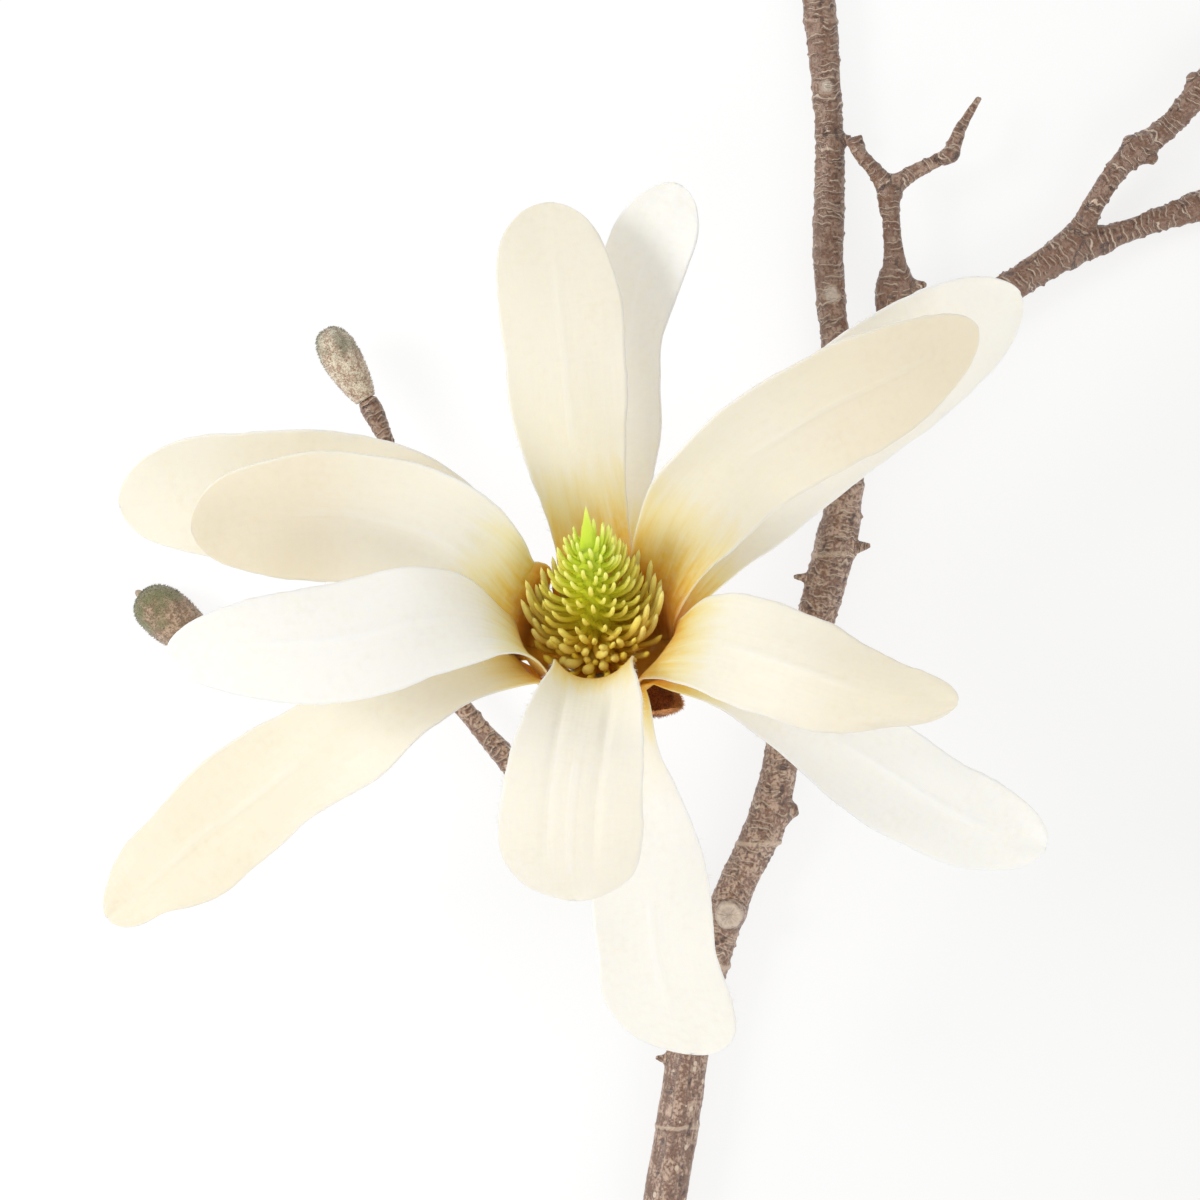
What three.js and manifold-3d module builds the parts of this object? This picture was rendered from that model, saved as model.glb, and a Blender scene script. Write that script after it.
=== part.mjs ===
// A flowering branch of star magnolia, lying down: a cast bark branch with its
// side twigs, one open flower of twelve cloth tepals, and two closed buds.
// Millimetres, +Z up. The branch lies along +Y and rests on the Z = 0 plane.
import * as THREE from "three";
import { mergeVertices } from "three/addons/utils/BufferGeometryUtils.js";
import Module from "manifold-3d";

const wasm = await Module();
wasm.setup();

const vec = (x, y, z) => new THREE.Vector3(x, y, z);
const smooth = (low, high, x) => THREE.MathUtils.smoothstep(x, low, high);

// ---------- materials ----------
const bark = new THREE.MeshStandardMaterial({
  name: "bark", color: 0x6b4a3f, roughness: 0.8, metalness: 0,
});
const cloth = new THREE.MeshStandardMaterial({
  name: "tepal_cloth", color: 0xf3ecdc, roughness: 0.6, metalness: 0,
});
const green = new THREE.MeshStandardMaterial({
  name: "cone_green", color: 0xb4cc45, roughness: 0.5, metalness: 0,
});
const pollen = new THREE.MeshStandardMaterial({
  name: "stamen_yellow", color: 0xd9bf52, roughness: 0.55, metalness: 0,
});
const felt = new THREE.MeshStandardMaterial({
  name: "bud_felt", color: 0x84806a, roughness: 0.95, metalness: 0,
});
const brown = new THREE.MeshStandardMaterial({
  name: "scale_felt", color: 0x8a4a20, roughness: 0.95, metalness: 0,
});

// ---------- solids ----------
// A repeatable pseudo-random sequence, so that each build is the same.
function sequence(seed) {
  let state = seed;
  return () => {
    state = (state * 16807) % 2147483647;
    return state / 2147483647;
  };
}

// A closed geometry through rings of points, with a fan over each end.
function closedLoft(rings) {
  const count = rings[0].length;
  const points = rings.flat();
  const index = [];
  for (let i = 0; i + 1 < rings.length; i += 1) {
    for (let j = 0; j < count; j += 1) {
      const a = i * count + j;
      const b = i * count + ((j + 1) % count);
      index.push(a, b, b + count);
      index.push(a, b + count, a + count);
    }
  }
  for (const ring of [0, rings.length - 1]) {
    const centre = vec(0, 0, 0);
    rings[ring].forEach((p) => centre.add(p));
    points.push(centre.divideScalar(count));
    for (let j = 0; j < count; j += 1) {
      const a = ring * count + j;
      const b = ring * count + ((j + 1) % count);
      const [first, second] = ring ? [a, b] : [b, a];
      index.push(first, second, points.length - 1);
    }
  }
  const geometry = new THREE.BufferGeometry().setFromPoints(points);
  geometry.setIndex(index);
  return outward(geometry);
}

// Turns a closed indexed geometry so that its faces point outwards.
function outward(geometry) {
  const p = geometry.attributes.position;
  const index = Array.from(geometry.index.array);
  const [a, b, c] = [vec(0, 0, 0), vec(0, 0, 0), vec(0, 0, 0)];
  let volume = 0;
  for (let i = 0; i < index.length; i += 3) {
    a.fromBufferAttribute(p, index[i]);
    b.fromBufferAttribute(p, index[i + 1]);
    c.fromBufferAttribute(p, index[i + 2]);
    volume += a.dot(b.cross(c));
  }
  if (volume < 0) geometry.setIndex(index.reverse());
  return geometry;
}

function toSolid(source) {
  const geometry = source.clone();
  geometry.deleteAttribute("normal");
  geometry.deleteAttribute("uv");
  const merged = mergeVertices(geometry, 1e-4);
  return new wasm.Manifold(new wasm.Mesh({
    numProp: 3,
    vertProperties: merged.attributes.position.array,
    triVerts: new Uint32Array(merged.index.array),
  }));
}

function joined(geometries) {
  const solids = geometries.map(toSolid);
  return solids.reduce((whole, next) => whole.add(next));
}

function toGeometry(solid) {
  const mesh = solid.getMesh();
  const positions = new Float32Array(mesh.numVert * 3);
  for (let i = 0; i < mesh.numVert; i += 1) {
    for (let k = 0; k < 3; k += 1) {
      positions[i * 3 + k] = mesh.vertProperties[i * mesh.numProp + k];
    }
  }
  const geometry = new THREE.BufferGeometry();
  geometry.setAttribute("position", new THREE.BufferAttribute(positions, 3));
  geometry.setIndex(Array.from(mesh.triVerts));
  return geometry;
}

const magnolia = new THREE.Group();
magnolia.name = "star_magnolia_branch";

function piece(name, geometry, material) {
  const shown = geometry.toNonIndexed();
  shown.computeVertexNormals();
  const mesh = new THREE.Mesh(shown, material);
  mesh.name = name;
  magnolia.add(mesh);
}

// ---------- branch ----------
// A limb is a list of stations [x, y, z, radius]; the tube between them swells
// and thins smoothly, and its rings don't twist.
function limb(stations, { sides = 8, step = 2.6, rough = 0.035, seed = 7 } = {}) {
  const random = sequence(seed);
  const axis = new THREE.CatmullRomCurve3(
    stations.map(([x, y, z]) => vec(x, y, z)), false, "centripetal",
  );
  const radius = new THREE.SplineCurve(
    stations.map(([, , , r], i) => new THREE.Vector2(i, r)),
  );
  const count = Math.max(3, Math.round(axis.getLength() / step));
  let side = vec(0, 0, 1);
  const rings = [];
  for (let i = 0; i <= count; i += 1) {
    const t = axis.getUtoTmapping(i / count);
    const along = axis.getTangent(t);
    side = side.clone().addScaledVector(along, -side.dot(along)).normalize();
    const other = along.clone().cross(side);
    const r = radius.getPoint(t).y;
    rings.push(Array.from({ length: sides }, (_, j) => {
      const angle = (2 * Math.PI * (j + 0.5 * (i % 2))) / sides;
      const reach = r * (1 + rough * (2 * random() - 1));
      return axis.getPoint(t)
        .addScaledVector(side, reach * Math.cos(angle))
        .addScaledVector(other, reach * Math.sin(angle));
    }));
  }
  return closedLoft(rings);
}

const MAIN_STEM = [
  [4.6, -100.3, 2.8, 2.8], [6.4, -87.8, 2.8, 2.75], [8.1, -75.2, 2.8, 2.7],
  [9.9, -64.5, 3, 2.75], [11.3, -55.1, 3.2, 2.6], [13.3, -47, 3.4, 2.45],
  [15.9, -38.6, 3.5, 2.4], [18.2, -33.4, 3.5, 2.35], [20.9, -27.8, 3.6, 2.55],
  [22.6, -20.3, 3.6, 2.25], [24.1, -12.5, 3.6, 2.35], [26.9, -2.8, 3.5, 2.45],
  [29, 4.8, 3.4, 2.6], [30.5, 12.3, 3.3, 2.4], [30.8, 20.1, 3.2, 2.45],
  [30.3, 27, 3.1, 2.1], [29.4, 33.9, 3, 1.8], [28.6, 43.4, 2.9, 1.95],
  [28.8, 50.2, 2.8, 1.95], [28.8, 58.5, 2.7, 1.8], [28.4, 64.3, 2.6, 1.85],
  [27.9, 70.3, 2.5, 2.05], [27.5, 75.3, 2.4, 2.1], [27.1, 81.6, 2.2, 1.8],
  [26.5, 89.2, 1.9, 1.6], [26.1, 95.5, 1.6, 1.3], [25.9, 101.1, 1.1, 0.8],
];
const RIGHT_BRANCH = [
  [30.8, 20.1, 3.2, 2.2], [35.1, 25.3, 3.4, 2.2], [41.3, 31.9, 3.6, 2.1],
  [48.2, 37.2, 3.6, 2.05], [53.3, 40.4, 3.4, 2], [57.6, 43.2, 3.3, 2.2],
  [59.8, 45.2, 3.2, 1.9],
];
const RIGHT_UPPER_TWIG = [
  [58, 43, 3.2, 1.9], [60.4, 46.8, 3.3, 1.5], [62.6, 50.8, 3.6, 1.4],
  [65.4, 54.6, 3.8, 1.5], [67.4, 56.4, 3.8, 1.85], [70.6, 58.8, 3.6, 1.5],
  [73.4, 61.6, 3.4, 1.6], [75.4, 64, 3.2, 1.9], [78.4, 67.6, 2.6, 1.45],
  [81.4, 71.4, 1.8, 1.2], [83.7, 74.6, 1.1, 0.8],
];
const RIGHT_LOWER_TWIG = [
  [58.4, 43.4, 3.2, 2], [62.4, 45, 3, 1.75], [66.4, 46.4, 2.8, 1.5],
  [70.4, 47.8, 2.6, 1.5], [73.4, 48.8, 2.5, 1.75], [75.6, 49.4, 2.4, 1.95],
  [79.8, 49.8, 2, 1.45], [84.8, 50.6, 1.6, 1.2], [89.2, 52.2, 1, 0.7],
];
const SPUR_TRUNK = [
  [39.2, 30.6, 3.6, 1.9], [37.4, 34.4, 4.2, 2], [36.5, 37.4, 5, 2.2],
  [36.8, 40.2, 5.5, 2.2], [36.8, 42, 5.7, 1.5], [36.4, 46.4, 6, 1.15],
  [36.1, 49.6, 6, 1.35], [36.1, 51.4, 6, 1.45],
];
const SPUR_LEFT_ARM = [
  [36.2, 51.2, 6, 1.35], [34.4, 53.4, 6.4, 1], [32.4, 55.7, 6.8, 0.95],
  [31.6, 57.6, 7.2, 1.1],
];
const SPUR_RIGHT_ARM = [
  [36.1, 51.4, 6, 1.35], [39.2, 53.4, 6.2, 0.95], [41.9, 54.8, 6.4, 0.9],
  [43.5, 55.6, 6.4, 1.05], [45.1, 59, 6, 0.7], [47.4, 62.8, 5.4, 0.35],
];
const SIDE_TWIG = [
  [13, -49.6, 3.3, 1.9], [9, -45.4, 3.6, 1.65], [1.5, -36.8, 4, 1.45],
  [-5.4, -28.6, 4.4, 1.35], [-11.9, -19.6, 4.6, 1.5], [-15.1, -15.9, 4.6, 1.25],
  [-17.8, -12.7, 4.6, 1.3], [-20.5, -10, 4.6, 1.5],
];
const UPPER_BUD_TWIG = [
  [-20, -10.6, 4.6, 1.4], [-21.3, -2.5, 5.4, 1.2], [-23, 6.2, 6.2, 1.15],
  [-24.9, 14.7, 6.8, 1.05], [-26.3, 19, 7, 0.9], [-27.4, 21.6, 7.1, 1.1],
  [-28.4, 23.7, 7.2, 1.4], [-29.05, 24.85, 7.2, 1.2],
];
const LOWER_BUD_TWIG = [
  [-19.8, -10.4, 4.6, 1.35], [-25.6, -8.9, 4.5, 1.2], [-33.2, -8.2, 4.2, 1.15],
  [-40.2, -8.6, 3.8, 1.1], [-45.6, -8.6, 3.4, 1.25], [-47.5, -7.3, 3.3, 1.5],
  [-48.55, -6.45, 3.3, 1.35],
];
const FLOWER_STALK = [
  [6.4, -41.4, 4, 1.7], [4.4, -36, 8, 1.5], [2.8, -28, 14.5, 1.5],
  [1.4, -20.4, 21, 1.55], [0.5, -14, 26.2, 1.8], [0.05, -10.9, 28.95, 2],
];

// Short outgrowths of the bark: leaf scars, thorns, stub ends.
// [foot x, y, z], [direction], foot radius, end radius, length.
const OUTGROWTHS = [
  [[16.5, -39, 3.5], [-0.12, -0.1, 1], 1.9, 1.7, 3.4],
  [[22, -26.8, 3.7], [1, 0.2, 0.1], 1.6, 0.7, 2.9],
  [[30.2, 6.4, 3.5], [1, 0.12, 0.3], 1.1, 0.35, 3.8],
  [[27.6, 2.6, 3.5], [-1, 0.1, 0.4], 0.8, 0.3, 3.6],
  [[28.8, 57.4, 2.8], [1, 0.1, 0.3], 1, 0.55, 2.8],
  [[36.8, 39, 5.4], [1, 0.1, 0.15], 1.3, 0.35, 4],
  [[66.6, 55.8, 3.8], [-0.3, 1, 0.4], 1, 0.55, 2.4],
  [[67.4, 56.4, 3.8], [1, -0.7, 0.3], 1, 0.6, 2.7],
  [[9.8, -57.6, 3.2], [-1, 0.1, 0.4], 0.8, 0.3, 3],
  [[43.4, 55.8, 6.4], [0.9, -0.5, 0.1], 0.8, 0.45, 1.3],
  [[75.2, 64, 3.2], [-0.6, 0.8, 0.3], 1, 0.6, 2.4],
];

function outgrowth([foot, direction, footRadius, endRadius, length], i) {
  const end = vec(...foot).addScaledVector(vec(...direction).normalize(), length);
  return limb([
    [...foot, footRadius],
    [(foot[0] + end.x) / 2, (foot[1] + end.y) / 2, (foot[2] + end.z) / 2,
      0.55 * footRadius + 0.45 * endRadius],
    [end.x, end.y, end.z, endRadius],
  ], { sides: 6, step: 1.6, rough: 0.06, seed: 40 + i });
}

piece("branch", toGeometry(joined([
  limb(MAIN_STEM, { sides: 10, step: 4, seed: 11 }),
  limb(RIGHT_BRANCH, { step: 3.2, seed: 12 }),
  limb(RIGHT_UPPER_TWIG, { step: 2.8, seed: 13 }),
  limb(RIGHT_LOWER_TWIG, { step: 2.8, seed: 14 }),
  limb(SPUR_TRUNK, { step: 2, seed: 15 }),
  limb(SPUR_LEFT_ARM, { sides: 6, step: 2, seed: 16 }),
  limb(SPUR_RIGHT_ARM, { sides: 6, step: 2, seed: 17 }),
  limb(SIDE_TWIG, { step: 3.4, seed: 18 }),
  limb(UPPER_BUD_TWIG, { step: 3.2, seed: 19 }),
  limb(LOWER_BUD_TWIG, { step: 3.4, seed: 20 }),
  limb(FLOWER_STALK, { step: 3.4, seed: 21 }),
  ...OUTGROWTHS.map(outgrowth),
])), bark);

// ---------- turned pieces ----------
// A solid of revolution from [radius, height] pairs, stood on foot along axis.
function turned(profile, foot, axis, segments = 14) {
  const closed = [[0, profile[0][1]], ...profile, [0, profile.at(-1)[1]]];
  const lathe = new THREE.LatheGeometry(
    closed.map(([r, h]) => new THREE.Vector2(r, h)), segments,
  );
  lathe.applyQuaternion(new THREE.Quaternion().setFromUnitVectors(
    vec(0, 1, 0), axis.clone().normalize(),
  ));
  lathe.translate(foot.x, foot.y, foot.z);
  lathe.deleteAttribute("normal");
  lathe.deleteAttribute("uv");
  return outward(toGeometry(toSolid(mergeVertices(lathe, 1e-4))));
}

const BUD_PROFILE = [
  [1.25, 0], [1.7, 1], [2.2, 2.6], [2.55, 4.4], [2.7, 6], [2.66, 7.4],
  [2.35, 8.6], [1.75, 9.5], [0.95, 10], [0.3, 10.15],
];
const PIECE_GAP = 0.35;

function bud(name, twig, girth, length) {
  const [before, end] = twig.slice(-2).map(([x, y, z]) => vec(x, y, z));
  const axis = end.clone().sub(before).normalize();
  const profile = BUD_PROFILE.map(([r, h]) => [r * girth, h * length]);
  piece(name, turned(profile, end.clone().addScaledVector(axis, PIECE_GAP), axis), felt);
}
bud("bud_upper", [[-28.1, 23.2, 7.2], [-29.1, 24.9, 7.2]], 0.97, 0.98);
bud("bud_lower", [[-47.2, -7.5, 3.3], [-48.6, -6.4, 3.3]], 1.18, 1.1);

// ---------- flower ----------
const FLOWER_AXIS = vec(-0.06, 0.743, 0.669).normalize();
const FLOWER_HEART = vec(-0.3, -6.3, 33);
const ACROSS = vec(1, 0, 0).addScaledVector(FLOWER_AXIS, -FLOWER_AXIS.x).normalize();
const FORWARD = FLOWER_AXIS.clone().cross(ACROSS).negate();

const onAxis = (height) => FLOWER_HEART.clone().addScaledVector(FLOWER_AXIS, height);
const outwards = (degrees) => {
  const angle = THREE.MathUtils.degToRad(degrees);
  return ACROSS.clone().multiplyScalar(Math.cos(angle))
    .addScaledVector(FORWARD, Math.sin(angle));
};

const RECEPTACLE = [[2.0, 0], [2.6, 1.2], [3.3, 3], [3.6, 4.6], [3.4, 6], [2.9, 6.4]];
piece("receptacle", turned(RECEPTACLE, onAxis(-5.6), FLOWER_AXIS), green);

// Each tepal leaves the receptacle at an angle around it (0 right, 90 front,
// 270 back) and follows its own path; widest is where along it, roll turns its
// face from straight up, cup lifts both edges (near the foot, near the tip).
const TEPALS = [
  { name: "tepal_back_inner", around: 270, inner: true, width: 14.4, widest: 0.72,
    tipShape: 2.4, roll: 0, skew: 0.02, cup: [1.6, 0.6], wave: 0.25,
    path: [[0, 3.6, 31.5], [-1.2, 9, 33], [-3.2, 19.1, 34.5], [-4.3, 29.8, 34.5],
      [-5.6, 39.5, 32.5], [-6.1, 47.8, 28.5]] },
  { name: "tepal_right_upper_inner", around: 330, inner: true, width: 16, widest: 0.6,
    tipShape: 2.2, roll: 32, skew: 0, cup: [1.8, 1.2], wave: 0.3,
    path: [[7.2, 1.2, 36], [10.6, 8.9, 38.5], [16.6, 16.5, 40.5], [25, 21.8, 41.5],
      [35.3, 26.8, 41], [44.8, 32, 38]] },
  { name: "tepal_right_lower_inner", around: 28, inner: true, width: 13.2, widest: 0.5,
    tipShape: 1.5, roll: -8, skew: 0, cup: [1.2, -1.4], wave: 0.4,
    path: [[8, -5.9, 42.5], [13.1, -5, 48], [20.2, -6.8, 52.5], [27.2, -9.3, 55.5],
      [33.8, -11.2, 57], [41, -11.7, 57]] },
  { name: "tepal_front_inner", around: 90, inner: true, width: 16.4, widest: 0.74,
    tipShape: 2.6, roll: 0, skew: 0, cup: [4.6, -0.9], wave: 0.15,
    path: [[-0.8, -9.4, 45], [-1.5, -12.7, 54], [-2.4, -17.6, 59.5],
      [-3.2, -23.7, 60.5], [-3.4, -29.8, 57], [-3.1, -34.8, 50.5]] },
  { name: "tepal_left_lower_inner", around: 152, inner: true, width: 14, widest: 0.6,
    tipShape: 2, roll: 10, skew: 0, cup: [1.4, -1.2], wave: 0.35,
    path: [[-9.3, -5.3, 42.5], [-14.2, -2.6, 47.5], [-20.8, -2.5, 51.5],
      [-29.9, -4.6, 55], [-40, -5.4, 57], [-49.6, -5.9, 57]] },
  { name: "tepal_left_upper_inner", around: 208, inner: true, width: 16.4, widest: 0.62,
    tipShape: 2.4, roll: -20, skew: 0, cup: [1.6, 1.4], wave: 0.3,
    path: [[-10.6, -1, 38], [-15.3, 4.4, 41], [-21.1, 8.2, 43.5], [-29.2, 10, 45],
      [-38, 9.8, 45], [-47.9, 8, 43]] },
  { name: "tepal_back_outer", around: 298, inner: false, width: 11.2, widest: 0.66,
    tipShape: 2.2, roll: -18, skew: 0, cup: [1.2, 0.8], wave: 0.4,
    path: [[1.2, 3.4, 27], [1.6, 13.3, 26], [2.6, 24.2, 25], [4.1, 35.1, 25],
      [6.1, 43, 25], [9.5, 50.4, 24]] },
  { name: "tepal_right_upper_outer", around: 345, inner: false, width: 16.4,
    widest: 0.64, tipShape: 2.3, roll: 22, skew: 0, cup: [1.4, 1],
    wave: 0.4,
    path: [[9.1, -0.8, 31.5], [13.4, 6, 31], [20.2, 14.4, 30.5], [29.2, 22.8, 29.5],
      [39.8, 30.2, 28], [51, 36.8, 25]] },
  { name: "tepal_right_lower_outer", around: 38, inner: false, width: 12.6,
    widest: 0.7, tipShape: 2.3, roll: -6, skew: 0, cup: [1.2, 0.4],
    wave: 0.4,
    path: [[8.5, -8.5, 38], [13.9, -9.2, 39], [23, -13.4, 37.5], [32.6, -19.6, 34.5],
      [43.1, -25.8, 31], [53.8, -29.8, 27]] },
  { name: "tepal_front_outer", around: 86, inner: false, width: 14.8, widest: 0.66,
    tipShape: 4, roll: 0, skew: 0, cup: [1.6, 0.3], wave: 0.4,
    path: [[0.8, -11.2, 41], [1.8, -16.2, 43.5], [3.9, -25, 41], [5.8, -34, 36.5],
      [6.9, -43.6, 31], [10.6, -55, 23.5]] },
  { name: "tepal_left_lower_outer", around: 142, inner: false, width: 13.6,
    widest: 0.66, tipShape: 2.2, roll: 8, skew: 0, cup: [1.2, 0.4],
    wave: 0.55,
    path: [[-9.4, -8, 39.5], [-15.3, -8.4, 42], [-25.2, -12.6, 42], [-36.2, -20, 40],
      [-47.2, -28.4, 37], [-58.8, -38, 33]] },
  { name: "tepal_left_upper_outer", around: 216, inner: false, width: 16,
    widest: 0.66, tipShape: 2.6, roll: -14, skew: 0, cup: [1.4, 1],
    wave: 0.35,
    path: [[-10.3, -1.2, 33], [-16.7, 6.2, 34.5], [-25, 11.2, 35.5], [-35.7, 13, 35.5],
      [-46.5, 12.6, 34], [-57.6, 11.6, 31]] },
];
const TEPAL_RINGS = 15;
const TEPAL_COLUMNS = 7;
const CLOTH_THICKNESS = 0.42;
const RIM_THICKNESS = 0.26;
// Where the two whorls leave the receptacle, and the bowl they form there.
const INNER_FOOT = { radius: 4.4, height: 0, half: 1.7, bowl: [8, 1.1] };
const OUTER_FOOT = { radius: 4.7, height: -2.2, half: 1.7, bowl: [7.8, -1.1] };

function halfWidth(u, footHalf, { width, widest, tipShape }) {
  const rise = Math.sin((Math.PI / 2) * Math.min(1, u / widest)) ** 1.15;
  const over = Math.max(0, (u - widest) / (1 - widest));
  return (footHalf + (0.5 * width - footHalf) * rise)
    * Math.sqrt(Math.max(0, 1 - over ** tipShape));
}

// The closed sheet of one tepal; spare widens and thickens it, for clearances.
function tepalSheet(shape, spare = 0) {
  const foot = shape.inner ? INNER_FOOT : OUTER_FOOT;
  const radial = outwards(shape.around);
  const [bowlRadius, bowlHeight] = foot.bowl;
  const path = new THREE.CatmullRomCurve3([
    onAxis(foot.height).addScaledVector(radial, foot.radius),
    onAxis(bowlHeight).addScaledVector(radial, bowlRadius),
    ...shape.path.map((p) => vec(...p)),
  ], false, "centripetal");
  const atFoot = FLOWER_AXIS.clone().cross(radial).negate();
  const chord = path.getPointAt(1).sub(path.getPointAt(0.45)).normalize();
  const atTip = chord.clone().cross(vec(0, 0, 1)).normalize()
    .applyAxisAngle(chord, THREE.MathUtils.degToRad(shape.roll));
  const rings = [];
  for (let i = 0; i < TEPAL_RINGS; i += 1) {
    const u = 0.994 * (1 - (1 - i / (TEPAL_RINGS - 1)) ** 1.25);
    const along = path.getTangentAt(u);
    const across = atFoot.clone().lerp(atTip, smooth(0.1, 0.5, u));
    across.addScaledVector(along, -across.dot(along)).normalize();
    const face = across.clone().cross(along);
    const half = Math.max(0.35, halfWidth(u, foot.half, shape)) + 0.5 * spare;
    const cup = THREE.MathUtils.lerp(...shape.cup, smooth(0.15, 0.7, u));
    const skin = (side) => Array.from({ length: TEPAL_COLUMNS }, (_, j) => {
      const v = 1 - (2 * j) / (TEPAL_COLUMNS - 1);
      const lift = cup * (half / (0.5 * shape.width)) * v * v
        + shape.wave * v * v * smooth(0, 0.3, u) * Math.sin(9 * u + 2.1 * v);
      const thick = THREE.MathUtils.lerp(CLOTH_THICKNESS, RIM_THICKNESS, v ** 4);
      return path.getPointAt(u)
        .addScaledVector(across, v * half * (1 + shape.skew * v))
        .addScaledVector(face, lift + 0.5 * side * (thick + spare));
    });
    rings.push([...skin(1), ...skin(-1).reverse()]);
  }
  return closedLoft(rings);
}
TEPALS.forEach((shape) => piece(shape.name, tepalSheet(shape), cloth));

// What is left of a solid once every tepal has its clearance; loose crumbs drop.
function clearOfTepals(solid) {
  const trimmed = TEPALS.reduce(
    (left, shape) => left.subtract(toSolid(tepalSheet(shape, 2 * PIECE_GAP))), solid,
  );
  return trimmed.decompose().sort((a, b) => b.volume() - a.volume())[0];
}

// A curved finger that leaves the core sideways and turns up along the axis.
function finger(height, degrees, root, reach, rise, thickness, sides = 3) {
  const radial = outwards(degrees);
  const at = (r, h) => onAxis(height + h).addScaledVector(radial, r);
  const path = new THREE.CatmullRomCurve3([
    at(root, 0), at(root + 0.6 * reach, 0.16 * rise),
    at(root + 0.93 * reach, 0.55 * rise), at(root + reach, rise),
  ]);
  const rings = [];
  const count = 3;
  for (let i = 0; i <= count; i += 1) {
    const u = i / count;
    const along = path.getTangentAt(u);
    const side = FLOWER_AXIS.clone().cross(radial);
    const other = along.clone().cross(side).normalize();
    const r = thickness * (i === count ? 0.35 : 1 - 0.25 * u);
    rings.push(Array.from({ length: sides }, (_, j) => {
      const angle = (2 * Math.PI * (j + 0.5)) / sides;
      return path.getPointAt(u)
        .addScaledVector(side, r * Math.cos(angle))
        .addScaledVector(other, r * Math.sin(angle));
    }));
  }
  return closedLoft(rings);
}

const CONE_CORE = [
  [1.9, 0.2], [2.2, 2], [2.1, 5], [1.9, 9], [1.6, 13], [1.25, 16], [1.15, 17.5],
  [0.9, 19.6], [0.45, 21.6], [0.12, 22.8],
];
const CONE_TIERS = 8;
const GOLDEN_ANGLE = 137.5;

function coneFingers() {
  const random = sequence(91);
  const fingers = [];
  for (let tier = 0; tier < CONE_TIERS; tier += 1) {
    const u = tier / (CONE_TIERS - 1);
    const height = 5.4 + 11 * u;
    const count = Math.round(11 - 4 * u);
    for (let i = 0; i < count; i += 1) {
      const degrees = (360 * (i + 0.3 * random())) / count + GOLDEN_ANGLE * tier;
      const reach = 3.9 * (1 - u) ** 0.7 + 0.9 + 0.4 * random();
      const rise = 2.2 + 1.4 * random();
      fingers.push(finger(height, degrees, 1.1, reach, rise, 0.42 - 0.08 * u));
    }
  }
  return fingers;
}
piece("pistil_cone", toGeometry(clearOfTepals(joined([
  turned(CONE_CORE, onAxis(0.9), FLOWER_AXIS, 10), ...coneFingers(),
]))), green);

// Stamens: a low collar on the receptacle with rings of fingers; the ones at
// the front are thick, curled back and blunt.
const STAMEN_COLLAR = [[2.6, 0], [3.3, 0.1], [3.5, 1.2], [2.6, 1.9]];
const STAMEN_RINGS = [
  { height: 1.9, count: 18, reach: 6, rise: 4.2, thickness: 0.46 },
  { height: 2.5, count: 16, reach: 4.5, rise: 4.8, thickness: 0.42 },
];

function collar(profile, foot) {
  const ring = [...profile, profile[0]];
  const lathe = new THREE.LatheGeometry(
    ring.map(([r, h]) => new THREE.Vector2(r, h)), 14,
  );
  lathe.applyQuaternion(new THREE.Quaternion().setFromUnitVectors(
    vec(0, 1, 0), FLOWER_AXIS,
  ));
  lathe.translate(foot.x, foot.y, foot.z);
  lathe.deleteAttribute("normal");
  lathe.deleteAttribute("uv");
  return outward(mergeVertices(lathe, 1e-4));
}

function stamens() {
  const random = sequence(57);
  return STAMEN_RINGS.flatMap(({ height, count, reach, rise, thickness }, ring) =>
    Array.from({ length: count }, (_, i) => {
      const degrees = (360 * (i + 0.5 * ring + 0.3 * random())) / count;
      const front = Math.max(0, Math.sin(THREE.MathUtils.degToRad(degrees)));
      return finger(
        height, degrees, 3.1,
        reach * (0.9 + 0.2 * random()),
        rise * (1 - 0.3 * front) * (0.8 + 0.4 * random()),
        thickness * (1 + 0.5 * front), 4,
      );
    }));
}
piece("stamens", toGeometry(clearOfTepals(joined([
  collar(STAMEN_COLLAR, onAxis(1.15)), ...stamens(),
]))), pollen);

// A felted bud scale, curled like half a thimble, still hanging on below the
// flower.
function budScale() {
  const radial = outwards(30);
  const side = FLOWER_AXIS.clone().cross(radial).normalize();
  const path = new THREE.CatmullRomCurve3([[3.4, -5], [6, -6.1], [9, -5.8], [11.4, -4.2]]
    .map(([radius, height]) => onAxis(height).addScaledVector(radial, radius)));
  const rings = [];
  for (let i = 0; i < 9; i += 1) {
    const u = (0.97 * i) / 8;
    const along = path.getTangentAt(u);
    const face = along.clone().cross(side).normalize();
    const half = 3.4 * Math.sqrt(1 - u ** 2.6) * smooth(-0.6, 0.5, u);
    const skin = (offset) => Array.from({ length: 7 }, (_, j) => {
      const bend = 1.3 * (1 - (2 * j) / 6);
      return path.getPointAt(u)
        .addScaledVector(side, half * Math.sin(bend))
        .addScaledVector(face, half * (1 - Math.cos(bend)) + offset);
    });
    rings.push([...skin(0.25), ...skin(-0.25).reverse()]);
  }
  piece("bud_scale", closedLoft(rings), brown);
}
budScale();

// The frame: origin under the middle of the whole, Z = 0 at its lowest point.
const bounds = new THREE.Box3().setFromObject(magnolia);
const middle = bounds.getCenter(vec(0, 0, 0));
magnolia.children.forEach((mesh) => {
  mesh.geometry.translate(-middle.x, -middle.y, -bounds.min.z);
});

export default magnolia;
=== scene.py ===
"""Looks of the star magnolia branch: a cast bark branch, one open flower of
cloth tepals, and two flocked buds, lying on a pale floor."""
import math
import random

import bmesh
import bpy
import numpy as np
from mathutils import Matrix, Vector, kdtree


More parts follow.
